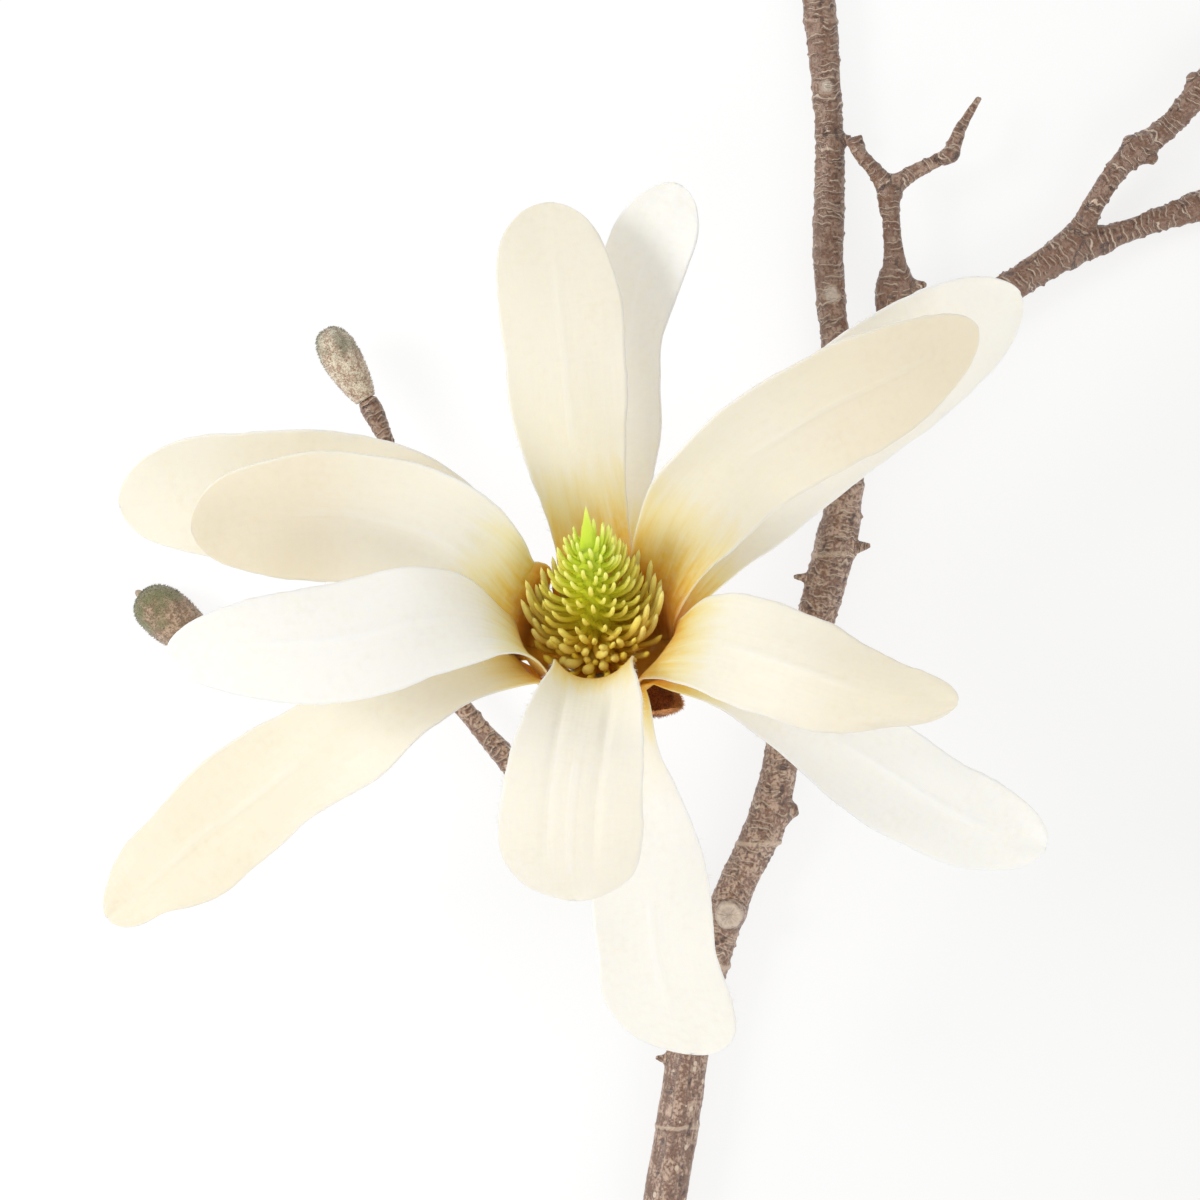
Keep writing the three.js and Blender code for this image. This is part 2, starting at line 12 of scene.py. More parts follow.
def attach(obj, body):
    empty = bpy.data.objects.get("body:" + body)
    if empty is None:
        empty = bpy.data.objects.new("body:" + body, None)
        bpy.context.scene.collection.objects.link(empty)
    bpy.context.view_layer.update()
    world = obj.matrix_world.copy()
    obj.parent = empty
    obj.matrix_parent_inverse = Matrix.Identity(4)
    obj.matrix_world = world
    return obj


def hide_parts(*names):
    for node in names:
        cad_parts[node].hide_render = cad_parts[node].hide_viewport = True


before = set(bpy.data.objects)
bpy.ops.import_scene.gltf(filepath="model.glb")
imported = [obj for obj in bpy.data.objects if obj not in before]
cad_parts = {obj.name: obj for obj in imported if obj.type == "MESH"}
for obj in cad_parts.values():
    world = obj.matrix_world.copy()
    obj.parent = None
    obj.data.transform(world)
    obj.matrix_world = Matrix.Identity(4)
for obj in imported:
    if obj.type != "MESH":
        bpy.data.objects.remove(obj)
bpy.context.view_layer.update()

# The flower and the limbs are laid out in millimetres round this point, which
# is the origin of the frame.
MIDDLE = np.array([15.125, 0.251, -0.028])
MM = 0.001
UP = np.array([0.0, 0.0, 1.0])


# ---------- numbers ----------
def metres(points):
    return (np.asarray(points, float) - MIDDLE) * MM


def unit(vector):
    vector = np.asarray(vector, float)
    return vector / np.linalg.norm(vector, axis=-1, keepdims=True)


def dot(a, b):
    return np.sum(a * b, axis=-1, keepdims=True)


def smooth(low, high, x):
    t = np.clip((np.asarray(x, float) - low) / (high - low), 0, 1)
    return t * t * (3 - 2 * t)


def mix(a, b, t):
    return a + (b - a) * t


def bump(x, width):
    return np.exp(-(x / width) ** 2)


def grain(points, seed=0):
    """Smooth random values from -1 to 1, always the same at the same point."""
    points = np.asarray(points, float)
    cell = np.floor(points).astype(np.int64)
    part = points - cell
    part = part * part * (3 - 2 * part)
    total = np.zeros(points.shape[:-1])
    for corner in range(8):
        step = np.array([corner & 1, corner >> 1 & 1, corner >> 2 & 1])
        near = cell + step
        key = near[..., 0] * 73856093 ^ near[..., 1] * 19349663
        key = key ^ near[..., 2] * 83492791 ^ (seed + 1) * 2654435761
        key = (key ^ key >> 13) * 1274126177
        key = (key ^ key >> 16) & 0xFFFF
        share = np.prod(np.where(step == 1, part, 1 - part), axis=-1)
        total += share * (key / 32767.5 - 1)
    return total


class Route:
    """A smooth curve through points, read by its share of length from 0 to 1.
    A fourth column is a radius that goes along with it."""

    def __init__(self, points, steps=40):
        points = np.asarray(points, float)
        ends = [2 * points[0] - points[1], *points, 2 * points[-1] - points[-2]]
        rows = []
        t = np.linspace(0, 1, steps, endpoint=False)[:, None]
        for p0, p1, p2, p3 in zip(ends, ends[1:], ends[2:], ends[3:]):
            d0, d1, d2 = (
                np.linalg.norm((b - a)[:3]) ** 0.5
                for a, b in ((p0, p1), (p1, p2), (p2, p3))
            )
            m1 = ((p1 - p0) / d0 - (p2 - p0) / (d0 + d1) + (p2 - p1) / d1) * d1
            m2 = ((p2 - p1) / d1 - (p3 - p1) / (d1 + d2) + (p3 - p2) / d2) * d1
            m1[3:] = (p2 - p0)[3:] / 2
            m2[3:] = (p3 - p1)[3:] / 2
            rows.append(
                p1 * (2 * t**3 - 3 * t**2 + 1) + m1 * (t**3 - 2 * t**2 + t)
                + p2 * (3 * t**2 - 2 * t**3) + m2 * (t**3 - t**2)
            )
        self.rows = np.vstack([*rows, points[-1:]])
        hops = np.linalg.norm(np.diff(self.rows[:, :3], axis=0), axis=1)
        self.far = np.concatenate([[0], np.cumsum(hops)])
        self.length = self.far[-1]

    def at(self, share):
        far = np.clip(share, 0, 1) * self.length
        columns = [np.interp(far, self.far, column) for column in self.rows.T]
        return np.stack(columns, axis=-1)

    def heading(self, share):
        share = np.asarray(share, float)
        span = 0.3 / self.length
        after = self.at(np.minimum(share + span, 1))
        before = self.at(np.maximum(share - span, 0))
        return unit((after - before)[..., :3])


# ---------- meshes ----------
def wrap(bm, around, along, place, tags=None):
    """Rolls a grid into a tube: place(turn, share) gives each corner's point, and
    tags gives the values that its material reads."""
    made = bmesh.ops.create_grid(bm, x_segments=around, y_segments=along, size=1)
    for vert in made["verts"]:
        turn, share = (vert.co.x + 1) / 2, (vert.co.y + 1) / 2
        vert.co = place(turn, share)
        for name, value in (tags or {}).items():
            layer = bm.verts.layers.float[name]
            vert[layer] = value(turn, share) if callable(value) else value
    return made["verts"]


def tagged(*names):
    bm = bmesh.new()
    for name in names:
        bm.verts.layers.float.new(name)
    return bm


def close_up(bm, distance=2e-6):
    bmesh.ops.remove_doubles(bm, verts=bm.verts, dist=distance)
    bmesh.ops.recalc_face_normals(bm, faces=bm.faces)


def add_piece(name, source, material, slot, *nodes):
    """Makes the finished piece from a bmesh or a mesh, and hides the CAD nodes that it stands
    in for.
    """
    if isinstance(source, bmesh.types.BMesh):
        mesh = bpy.data.meshes.new(name)
        source.to_mesh(mesh)
        source.free()
    else:
        mesh = source
    mesh.name = name
    piece = bpy.data.objects.new(name, mesh)
    bpy.context.scene.collection.objects.link(piece)
    mesh.shade_smooth()
    mesh.materials.clear()
    mesh.materials.append(material)
    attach(piece, "root")
    if nodes:
        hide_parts(*nodes)
    return piece


def merged_copy(node):
    """A copy of a CAD node's mesh, with its loose triangles joined."""
    bm = bmesh.new()
    bm.from_mesh(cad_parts[node].data)
    bmesh.ops.remove_doubles(bm, verts=bm.verts, dist=2e-6)
    return bm


# ---------- shader nodes ----------
def put(tree, kind, inputs=None, **settings):
    """Adds a shader node; an input is given by name or number, as a value or as
    the socket that feeds it."""
    made = tree.nodes.new(kind)
    for name, value in settings.items():
        setattr(made, name, value)
    for name, value in (inputs or {}).items():
        socket = made.inputs[name]
        if isinstance(value, bpy.types.NodeSocket):
            tree.links.new(value, socket)
        else:
            socket.default_value = value
    return made


def maths(tree, operation, *values, clamp=False):
    inputs = dict(enumerate(values))
    made = put(tree, "ShaderNodeMath", inputs, operation=operation, use_clamp=clamp)
    return made.outputs[0]


def spread(tree, value, low, high, to_low=0.0, to_high=1.0):
    """Maps value from low..high to to_low..to_high, held at both ends."""
    made = put(tree, "ShaderNodeMapRange", {
        "Value": value, "From Min": low, "From Max": high,
        "To Min": to_low, "To Max": to_high,
    }, interpolation_type="SMOOTHSTEP")
    return made.outputs["Result"]


def blend(tree, share, first, second, how="MIX"):
    made = put(tree, "ShaderNodeMix", {0: share, 6: first, 7: second},
               data_type="RGBA", blend_type=how)
    return made.outputs[2]


def ramp(tree, value, *stops):
    """A colour ramp from (position, colour) pairs."""
    made = put(tree, "ShaderNodeValToRGB", {0: value})
    elements = made.color_ramp.elements
    while len(elements) < len(stops):
        elements.new(0.5)
    for element, (position, colour) in zip(elements, stops):
        element.position = position
        element.color = (*colour, 1)
    return made.outputs[0]


def tag(tree, name):
    return put(tree, "ShaderNodeAttribute", attribute_name=name).outputs


def noise(tree, vector, scale, detail=2.0, rough=0.5):
    made = put(tree, "ShaderNodeTexNoise", {
        "Vector": vector, "Scale": scale, "Detail": detail, "Roughness": rough,
    })
    return made.outputs[0]


def stretch(tree, vector, scale):
    made = put(tree, "ShaderNodeMapping", {"Vector": vector, "Scale": scale})
    return made.outputs[0]


def group(name, inputs, outputs):
    """A shader node group with named sockets; inputs maps names to (type, value)."""
    made = bpy.data.node_groups.new(name, "ShaderNodeTree")
    for socket, (kind, value) in inputs.items():
        item = made.interface.new_socket(
            name=socket, in_out="INPUT", socket_type="NodeSocket" + kind
        )
        if value is not None:
            item.default_value = value
    for socket, kind in outputs.items():
        made.interface.new_socket(
            name=socket, in_out="OUTPUT", socket_type="NodeSocket" + kind
        )
    return made, made.nodes.new("NodeGroupInput"), made.nodes.new("NodeGroupOutput")


def use(tree, made, inputs):
    node = tree.nodes.new("ShaderNodeGroup")
    node.node_tree = made
    for name, value in inputs.items():
        if isinstance(value, bpy.types.NodeSocket):
            tree.links.new(value, node.inputs[name])
        else:
            node.inputs[name].default_value = value
    return node.outputs


def material(name, **settings):
    """A new material: its tree, its Principled shader, and the settings put on it."""
    made = bpy.data.materials.new(name)
    made.use_nodes = True
    tree = made.node_tree
    shader = tree.nodes["Principled BSDF"]
    for socket, value in settings.items():
        shader.inputs[socket.replace("_", " ")].default_value = value
    return made, tree, shader


def feed(tree, shader, **sockets):
    for name, value in sockets.items():
        tree.links.new(value, shader.inputs[name.replace("_", " ")])


def relief(tree, height, strength, distance):
    return put(tree, "ShaderNodeBump", {
        "Height": height, "Strength": strength, "Distance": distance,
    }).outputs[0]


def make_specks():
    """Sparse tiny spots: Mask is 1 in a spot."""
    made, given, put_out = group(
        "specks",
        {"Vector": ("Vector", None), "Per metre": ("Float", 300.0),
         "Size": ("Float", 0.08), "Share": ("Float", 0.1)},
        {"Mask": "Float"},
    )
    cells = put(made, "ShaderNodeTexVoronoi", {
        "Vector": given.outputs["Vector"], "Scale": given.outputs["Per metre"],
    })
    inside = maths(made, "LESS_THAN", cells.outputs["Distance"], given.outputs["Size"])
    chosen = put(made, "ShaderNodeSeparateColor", {0: cells.outputs["Color"]})
    kept = maths(made, "LESS_THAN", chosen.outputs[0], given.outputs["Share"])
    made.links.new(maths(made, "MULTIPLY", inside, kept), put_out.inputs["Mask"])
    return made


def make_mottle():
    """Soft uneven tint: Colour is Base turned towards Other in large and fine
    patches, and Patches is the same pattern as a value."""
    made, given, put_out = group(
        "mottle",
        {"Vector": ("Vector", None), "Base": ("Color", (1, 1, 1, 1)),
         "Other": ("Color", (0, 0, 0, 1)), "Broad per metre": ("Float", 200.0),
         "Fine per metre": ("Float", 2000.0), "Low": ("Float", 0.4),
         "High": ("Float", 0.7)},
        {"Colour": "Color", "Patches": "Float"},
    )
    vector = given.outputs["Vector"]
    broad = noise(made, vector, given.outputs["Broad per metre"], 3.0, 0.6)
    fine = noise(made, vector, given.outputs["Fine per metre"], 2.0, 0.5)
    both = maths(made, "MULTIPLY_ADD", fine, 0.45, maths(made, "MULTIPLY", broad, 0.55))
    patches = spread(made, both, given.outputs["Low"], given.outputs["High"])
    colour = blend(made, patches, given.outputs["Base"], given.outputs["Other"])
    made.links.new(colour, put_out.inputs["Colour"])
    made.links.new(patches, put_out.inputs["Patches"])
    return made


def make_wrinkles():
    """Short curved lines that run across a limb, in rows along it: Line is the
    raised skin and Shade a painted shadow in the crease beside it."""
    made, given, put_out = group(
        "wrinkles",
        {"Vector": ("Vector", None), "Spacing": ("Float", 0.0012),
         "Phase": ("Float", 0.0), "Width": ("Float", 0.2), "From": ("Float", 0.5)},
        {"Line": "Float", "Shade": "Float"},
    )
    vector, width = given.outputs["Vector"], given.outputs["Width"]
    phase, start = given.outputs["Phase"], given.outputs["From"]
    axes = put(made, "ShaderNodeSeparateXYZ", {0: vector}).outputs
    warp = noise(made, stretch(made, vector, (1, 1, 0.6)), 380.0, 2.0, 0.5)
    along = maths(made, "DIVIDE", axes["Z"], given.outputs["Spacing"])
    drift = maths(made, "MULTIPLY_ADD", warp, 2.6, phase)
    row = maths(made, "ADD", along, drift)
    level = maths(made, "FLOOR", row)
    here = put(made, "ShaderNodeCombineXYZ", {
        "X": axes["X"], "Y": axes["Y"],
        "Z": maths(made, "MULTIPLY_ADD", level, 0.0137, phase),
    }).outputs[0]
    wobble = maths(made, "MULTIPLY_ADD", noise(made, here, 900.0), 0.7, -0.85)
    off = maths(made, "ADD", maths(made, "FRACT", row), wobble)
    arc = noise(made, here, 430.0, 1.0, 0.5)
    shown = spread(made, arc, start, maths(made, "ADD", start, 0.07))
    half = maths(made, "MULTIPLY", width, 0.4)
    beside = maths(made, "MULTIPLY_ADD", width, 1.2, off)
    for name, place in (("Line", off), ("Shade", beside)):
        near = spread(made, maths(made, "ABSOLUTE", place), half, width, 1.0, 0.0)
        made.links.new(maths(made, "MULTIPLY", near, shown), put_out.inputs[name])
    return made


SPECKS = make_specks()
MOTTLE = make_mottle()
WRINKLES = make_wrinkles()


# ---------- materials ----------
AMBER = (0.70, 0.34, 0.030)
HONEY = (0.82, 0.54, 0.13)
STRAW = (0.88, 0.74, 0.44)
CREAM = (0.92, 0.86, 0.72)
IVORY = (0.95, 0.90, 0.80)


def tepal_cloth():
    """Satin cloth, dyed amber at the foot: fine threads, a soft sheen, light
    coming through, a few dark specks, painted highlights along the rib and
    edges, and painted shade that darkens some tepals."""
    made, tree, shader = material(
        "tepal_satin", Roughness=0.5, Sheen_Weight=0.08, Sheen_Roughness=0.5,
        Subsurface_Weight=0.8, Subsurface_Scale=0.0012, Specular_IOR_Level=0.28,
    )
    shader.inputs["Subsurface Radius"].default_value = (1.0, 0.85, 0.6)
    plan = put(tree, "ShaderNodeUVMap", uv_map="cloth").outputs[0]
    from_foot = tag(tree, "from_foot")["Fac"]
    streaks = noise(tree, stretch(tree, plan, (900, 110, 1)), 1.0, 3.0, 0.6)
    ragged = maths(tree, "MULTIPLY_ADD", maths(tree, "SUBTRACT", streaks, 0.5), 0.16,
                   from_foot)
    dyed = ramp(
        tree, ragged, (0.0, AMBER), (0.20, AMBER), (0.27, HONEY), (0.36, STRAW),
        (0.46, CREAM), (0.7, IVORY),
    )
    cloudy = use(tree, MOTTLE, {
        "Vector": plan, "Base": dyed, "Other": (0.86, 0.79, 0.66, 1),
        "Broad per metre": 70.0, "Fine per metre": 900.0, "Low": 0.45, "High": 0.95,
    })
    # Painted highlight: lighter colour along the pressed rib and along the edges.
    rib_and_edge_highlight = maths(
        tree, "MAXIMUM",
        maths(tree, "MULTIPLY", tag(tree, "rib")["Fac"], 0.3),
        maths(tree, "MULTIPLY", tag(tree, "edge")["Fac"], 0.6),
    )
    highlighted_cloth = blend(tree, rib_and_edge_highlight, cloudy["Colour"], (0.97, 0.95, 0.88, 1))
    # Painted shade: each tepal is darkened by its own amount, more where it lies in shade or
    # over another tepal.
    shaded_cloth = blend(tree, tag(tree, "warmth")["Fac"], highlighted_cloth, (0.76, 0.715, 0.655, 1),
                  how="MULTIPLY")
    spots = use(tree, SPECKS, {
        "Vector": plan, "Per metre": 160.0, "Size": 0.022, "Share": 0.2,
    })
    shown = blend(tree, spots["Mask"], shaded_cloth, (0.28, 0.14, 0.06, 1))
    threads = put(tree, "ShaderNodeTexWave", {
        "Vector": plan, "Scale": 480.0, "Distortion": 1.2, "Detail": 1.0,
        "Detail Scale": 0.6,
    }, bands_direction="X").outputs[1]
    crossing = put(tree, "ShaderNodeTexWave", {
        "Vector": plan, "Scale": 420.0, "Distortion": 0.8, "Detail": 1.0,
        "Detail Scale": 0.6,
    }, bands_direction="Y").outputs[1]
    satin = noise(tree, stretch(tree, plan, (1600, 260, 1)), 1.0, 2.0, 0.5)
    weave = maths(tree, "ADD", maths(tree, "MULTIPLY", threads, 0.6),
                  maths(tree, "MULTIPLY", crossing, 0.4))
    height = maths(tree, "MULTIPLY_ADD", satin, 0.8, weave)
    gloss = spread(tree, satin, 0.3, 0.7, 0.44, 0.62)
    feed(tree, shader, Base_Color=shown, Roughness=gloss,
         Normal=relief(tree, height, 0.22, 0.00005))
    return made


def thread_fluff():
    """Loose thread ends: pale cream."""
    made, tree, shader = material(
        "thread_ends", Roughness=0.7, Sheen_Weight=0.2, Subsurface_Weight=0.3,
        Subsurface_Scale=0.0005,
    )
    place = put(tree, "ShaderNodeTexCoord").outputs["Object"]
    tint = use(tree, MOTTLE, {
        "Vector": place, "Base": (0.93, 0.87, 0.72, 1), "Other": (0.86, 0.74, 0.50, 1),
        "Broad per metre": 90.0, "Fine per metre": 600.0, "Low": 0.4, "High": 0.8,
    })
    feed(tree, shader, Base_Color=tint["Colour"],
         Roughness=spread(tree, tint["Patches"], 0, 1, 0.6, 0.8))
    return made


def moulded_fingers(name, roots, tips, tip_from):
    """Soft moulded plastic of the flower's middle: each finger goes from its root
    colour to its tip colour, and both change with the tier."""
    made, tree, shader = material(
        name, Roughness=0.42, Subsurface_Weight=0.3, Subsurface_Scale=0.0008,
        Specular_IOR_Level=0.25,
    )
    shader.inputs["Subsurface Radius"].default_value = (1.0, 0.9, 0.25)
    tier = tag(tree, "tier")["Fac"]
    share = tag(tree, "share")["Fac"]
    lot = tag(tree, "lot")["Fac"]
    place = put(tree, "ShaderNodeTexCoord").outputs["Object"]
    root = ramp(tree, tier, *roots)
    tip = ramp(tree, tier, *tips)
    along = spread(tree, share, tip_from, 1.0)
    colour = blend(tree, along, root, tip)
    tinted = blend(tree, maths(tree, "MULTIPLY", lot, 0.25), colour,
                   (0.92, 0.66, 0.08, 1))
    uneven = use(tree, MOTTLE, {
        "Vector": place, "Base": tinted, "Other": (0.42, 0.26, 0.01, 1),
        "Broad per metre": 500.0, "Fine per metre": 2600.0, "Low": 0.55, "High": 1.1,
    })
    pimples = noise(tree, place, 3600.0, 2.0, 0.5)
    gloss = spread(tree, pimples, 0.3, 0.7, 0.34, 0.5)
    feed(tree, shader, Base_Color=uneven["Colour"], Roughness=gloss,
         Normal=relief(tree, pimples, 0.4, 0.00006))
    return made


def cast_bark():
    """Cast and painted bark: brown mottled ground, short cross wrinkles with a
    painted shadow beside each, pits darkened with painted shade, light dots and
    streaks where it is smoother, and a pale bloom at its sides."""
    made, tree, shader = material(
        "cast_bark", Roughness=0.5, Specular_IOR_Level=0.8, Sheen_Weight=0.18,
        Sheen_Roughness=0.3,
    )
    shader.inputs["Sheen Tint"].default_value = (0.93, 0.88, 1.0, 1)
    limb = tag(tree, "limb_place")["Vector"]
    ridge, pit, scar, dark, calm = (
        tag(tree, name)["Fac"] for name in ("ridge", "pit", "scar", "dark", "calm")
    )
    lively = maths(tree, "SUBTRACT", 1.0, calm)
    ground = use(tree, MOTTLE, {
        "Vector": limb, "Base": (0.19, 0.094, 0.053, 1),
        "Other": (0.52, 0.365, 0.265, 1), "Broad per metre": 650.0,
        "Fine per metre": 2600.0, "Low": 0.43, "High": 0.62,
    })
    deep = blend(tree, maths(tree, "MULTIPLY", dark, 0.75), ground["Colour"],
                 (0.155, 0.068, 0.031, 1))
    streaks = noise(tree, stretch(tree, limb, (2400, 2400, 240)), 1.0, 3.0, 0.6)
    streaky = blend(tree, maths(tree, "MULTIPLY", calm, spread(
        tree, streaks, 0.45, 0.65, 0.0, 0.8)), deep, (0.14, 0.070, 0.044, 1))
    bold = use(tree, WRINKLES, {
        "Vector": limb, "Spacing": 0.0015, "Phase": 0.0, "Width": 0.14, "From": 0.53,
    })
    fine = use(tree, WRINKLES, {
        "Vector": limb, "Spacing": 0.0008, "Phase": 3.7, "Width": 0.22, "From": 0.47,
    })
    lines = maths(tree, "MULTIPLY", lively, maths(
        tree, "MAXIMUM", bold["Line"], maths(tree, "MULTIPLY", fine["Line"], 0.6)))
    # Painted shadow in the crease beside each raised line; the same mask also presses the
    # crease into the bump.
    crease_depth_and_shade = maths(tree, "MULTIPLY", lively, maths(
        tree, "MAXIMUM", bold["Shade"], maths(tree, "MULTIPLY", fine["Shade"], 0.7)))
    lined = blend(tree, maths(tree, "MULTIPLY", lines, 0.65), streaky,
                  (0.72, 0.56, 0.42, 1))
    crease_shaded = blend(tree, maths(tree, "MULTIPLY", crease_depth_and_shade, 0.45), lined,
                    (0.075, 0.035, 0.022, 1))
    dots = use(tree, SPECKS, {
        "Vector": stretch(tree, limb, (1, 1, 0.75)), "Per metre": 950.0,
        "Size": 0.27, "Share": 0.42,
    })
    dotted = blend(tree, maths(tree, "MULTIPLY", dots["Mask"], spread(
        tree, calm, 0.0, 1.0, 0.25, 0.85)), crease_shaded, (0.66, 0.53, 0.39, 1))
    # The raised rings, scar rims and wrinkles are lighter.
    ridge_lightened = blend(tree, spread(tree, ridge, 0.25, 0.8, 0.0, 0.7), dotted,
                 (0.58, 0.44, 0.32, 1))
    # Painted shade: the pits are darkened nearly to black.
    pit_shaded = blend(tree, spread(tree, pit, 0.2, 0.9, 0.0, 0.75), ridge_lightened,
                   (0.055, 0.024, 0.016, 1))
    healed = blend(tree, spread(tree, scar, 0.1, 0.9, 0.0, 0.7), pit_shaded,
                   (0.62, 0.53, 0.43, 1))
    crumbs = noise(tree, limb, 2600.0, 3.0, 0.6)
    raised = maths(tree, "SUBTRACT", maths(tree, "MULTIPLY_ADD", lines, 1.1, crumbs),
                   maths(tree, "MULTIPLY", crease_depth_and_shade, 0.8))
    pimpled = maths(tree, "MULTIPLY_ADD", dots["Mask"], 0.4, raised)
    gloss = spread(tree, crumbs, 0.35, 0.7, 0.26, 0.5)
    feed(tree, shader, Base_Color=healed, Roughness=gloss,
         Normal=relief(tree, pimpled, 0.8, 0.00022))
    return made


def flock(name, ground, other, tip, low, high, tint_from):
    """Short flocked hairs over a solid body; tip is the tint towards the top."""
    made, tree, shader = material(
        name, Roughness=0.9, Sheen_Weight=0.35, Sheen_Roughness=0.6,
        Specular_IOR_Level=0.15,
    )
    place = put(tree, "ShaderNodeTexCoord").outputs["Object"]
    tinge = tag(tree, "height")["Fac"]
    speckle = use(tree, MOTTLE, {
        "Vector": place, "Base": ground, "Other": other,
        "Broad per metre": 900.0, "Fine per metre": 3600.0, "Low": low, "High": high,
    })
    patches = noise(tree, place, 420.0, 2.0, 0.5)
    towards = maths(tree, "MULTIPLY_ADD", tinge, 0.6, maths(tree, "MULTIPLY", patches, 0.75))
    topped = blend(tree, spread(tree, towards, tint_from, tint_from + 0.22, 0.0, 0.75),
                   speckle["Colour"], tip)
    lot = tag(tree, "lot")["Fac"]
    lit = blend(tree, spread(tree, lot, 0.0, 1.0, 0.0, 0.4), topped,
                (0.66, 0.60, 0.47, 1))
    fuzz = noise(tree, place, 5200.0, 2.0, 0.6)
    feed(tree, shader, Base_Color=lit, Roughness=spread(tree, fuzz, 0, 1, 0.8, 1.0),
         Normal=relief(tree, fuzz, 0.8, 0.00012))
    return made


CLOTH = tepal_cloth()
FLUFF = thread_fluff()
BARK = cast_bark()
CONE_GREEN = moulded_fingers(
    "cone_moulded",
    [(0.0, (0.78, 0.45, 0.03)), (0.3, (0.60, 0.47, 0.02)),
     (0.6, (0.66, 0.68, 0.03)), (1.0, (0.62, 0.76, 0.07))],
    [(0.0, (0.96, 0.74, 0.14)), (0.35, (0.96, 0.84, 0.18)),
     (0.7, (0.96, 0.94, 0.26)), (1.0, (0.84, 0.94, 0.26))],
    0.3,
)
STAMEN_YELLOW = moulded_fingers(
    "stamen_moulded",
    [(0.0, (0.92, 0.44, 0.006)), (0.5, (0.96, 0.56, 0.01)),
     (1.0, (0.98, 0.64, 0.02))],
    [(0.0, (1.0, 0.70, 0.04)), (0.5, (1.0, 0.78, 0.09)),
     (1.0, (1.0, 0.88, 0.30))],
    0.0,
)
UPPER_FLOCK = flock("bud_flock_grey", (0.46, 0.31, 0.22, 1), (0.80, 0.72, 0.56, 1),
                    (0.24, 0.26, 0.17, 1), 0.40, 0.60, 0.72)
LOWER_FLOCK = flock("bud_flock_olive", (0.24, 0.155, 0.095, 1), (0.50, 0.36, 0.25, 1),
                    (0.16, 0.18, 0.07, 1), 0.42, 0.62, 0.68)
SCALE_FLOCK = flock("scale_flock", (0.24, 0.055, 0.012, 1), (0.42, 0.13, 0.028, 1),
                    (0.80, 0.38, 0.12, 1), 0.4, 0.65, 0.40)


# ---------- the flower's own axes ----------
FLOWER_AXIS = unit([-0.06, 0.743, 0.669])
FLOWER_HEART = np.array([-0.3, -6.3, 33.0])
ACROSS = unit(np.array([1.0, 0, 0]) - FLOWER_AXIS * FLOWER_AXIS[0])
FORWARD = -np.cross(FLOWER_AXIS, ACROSS)


def on_axis(height):
    return FLOWER_HEART + FLOWER_AXIS * height


def outwards(degrees):
    angle = math.radians(degrees)
    return ACROSS * math.cos(angle) + FORWARD * math.sin(angle)


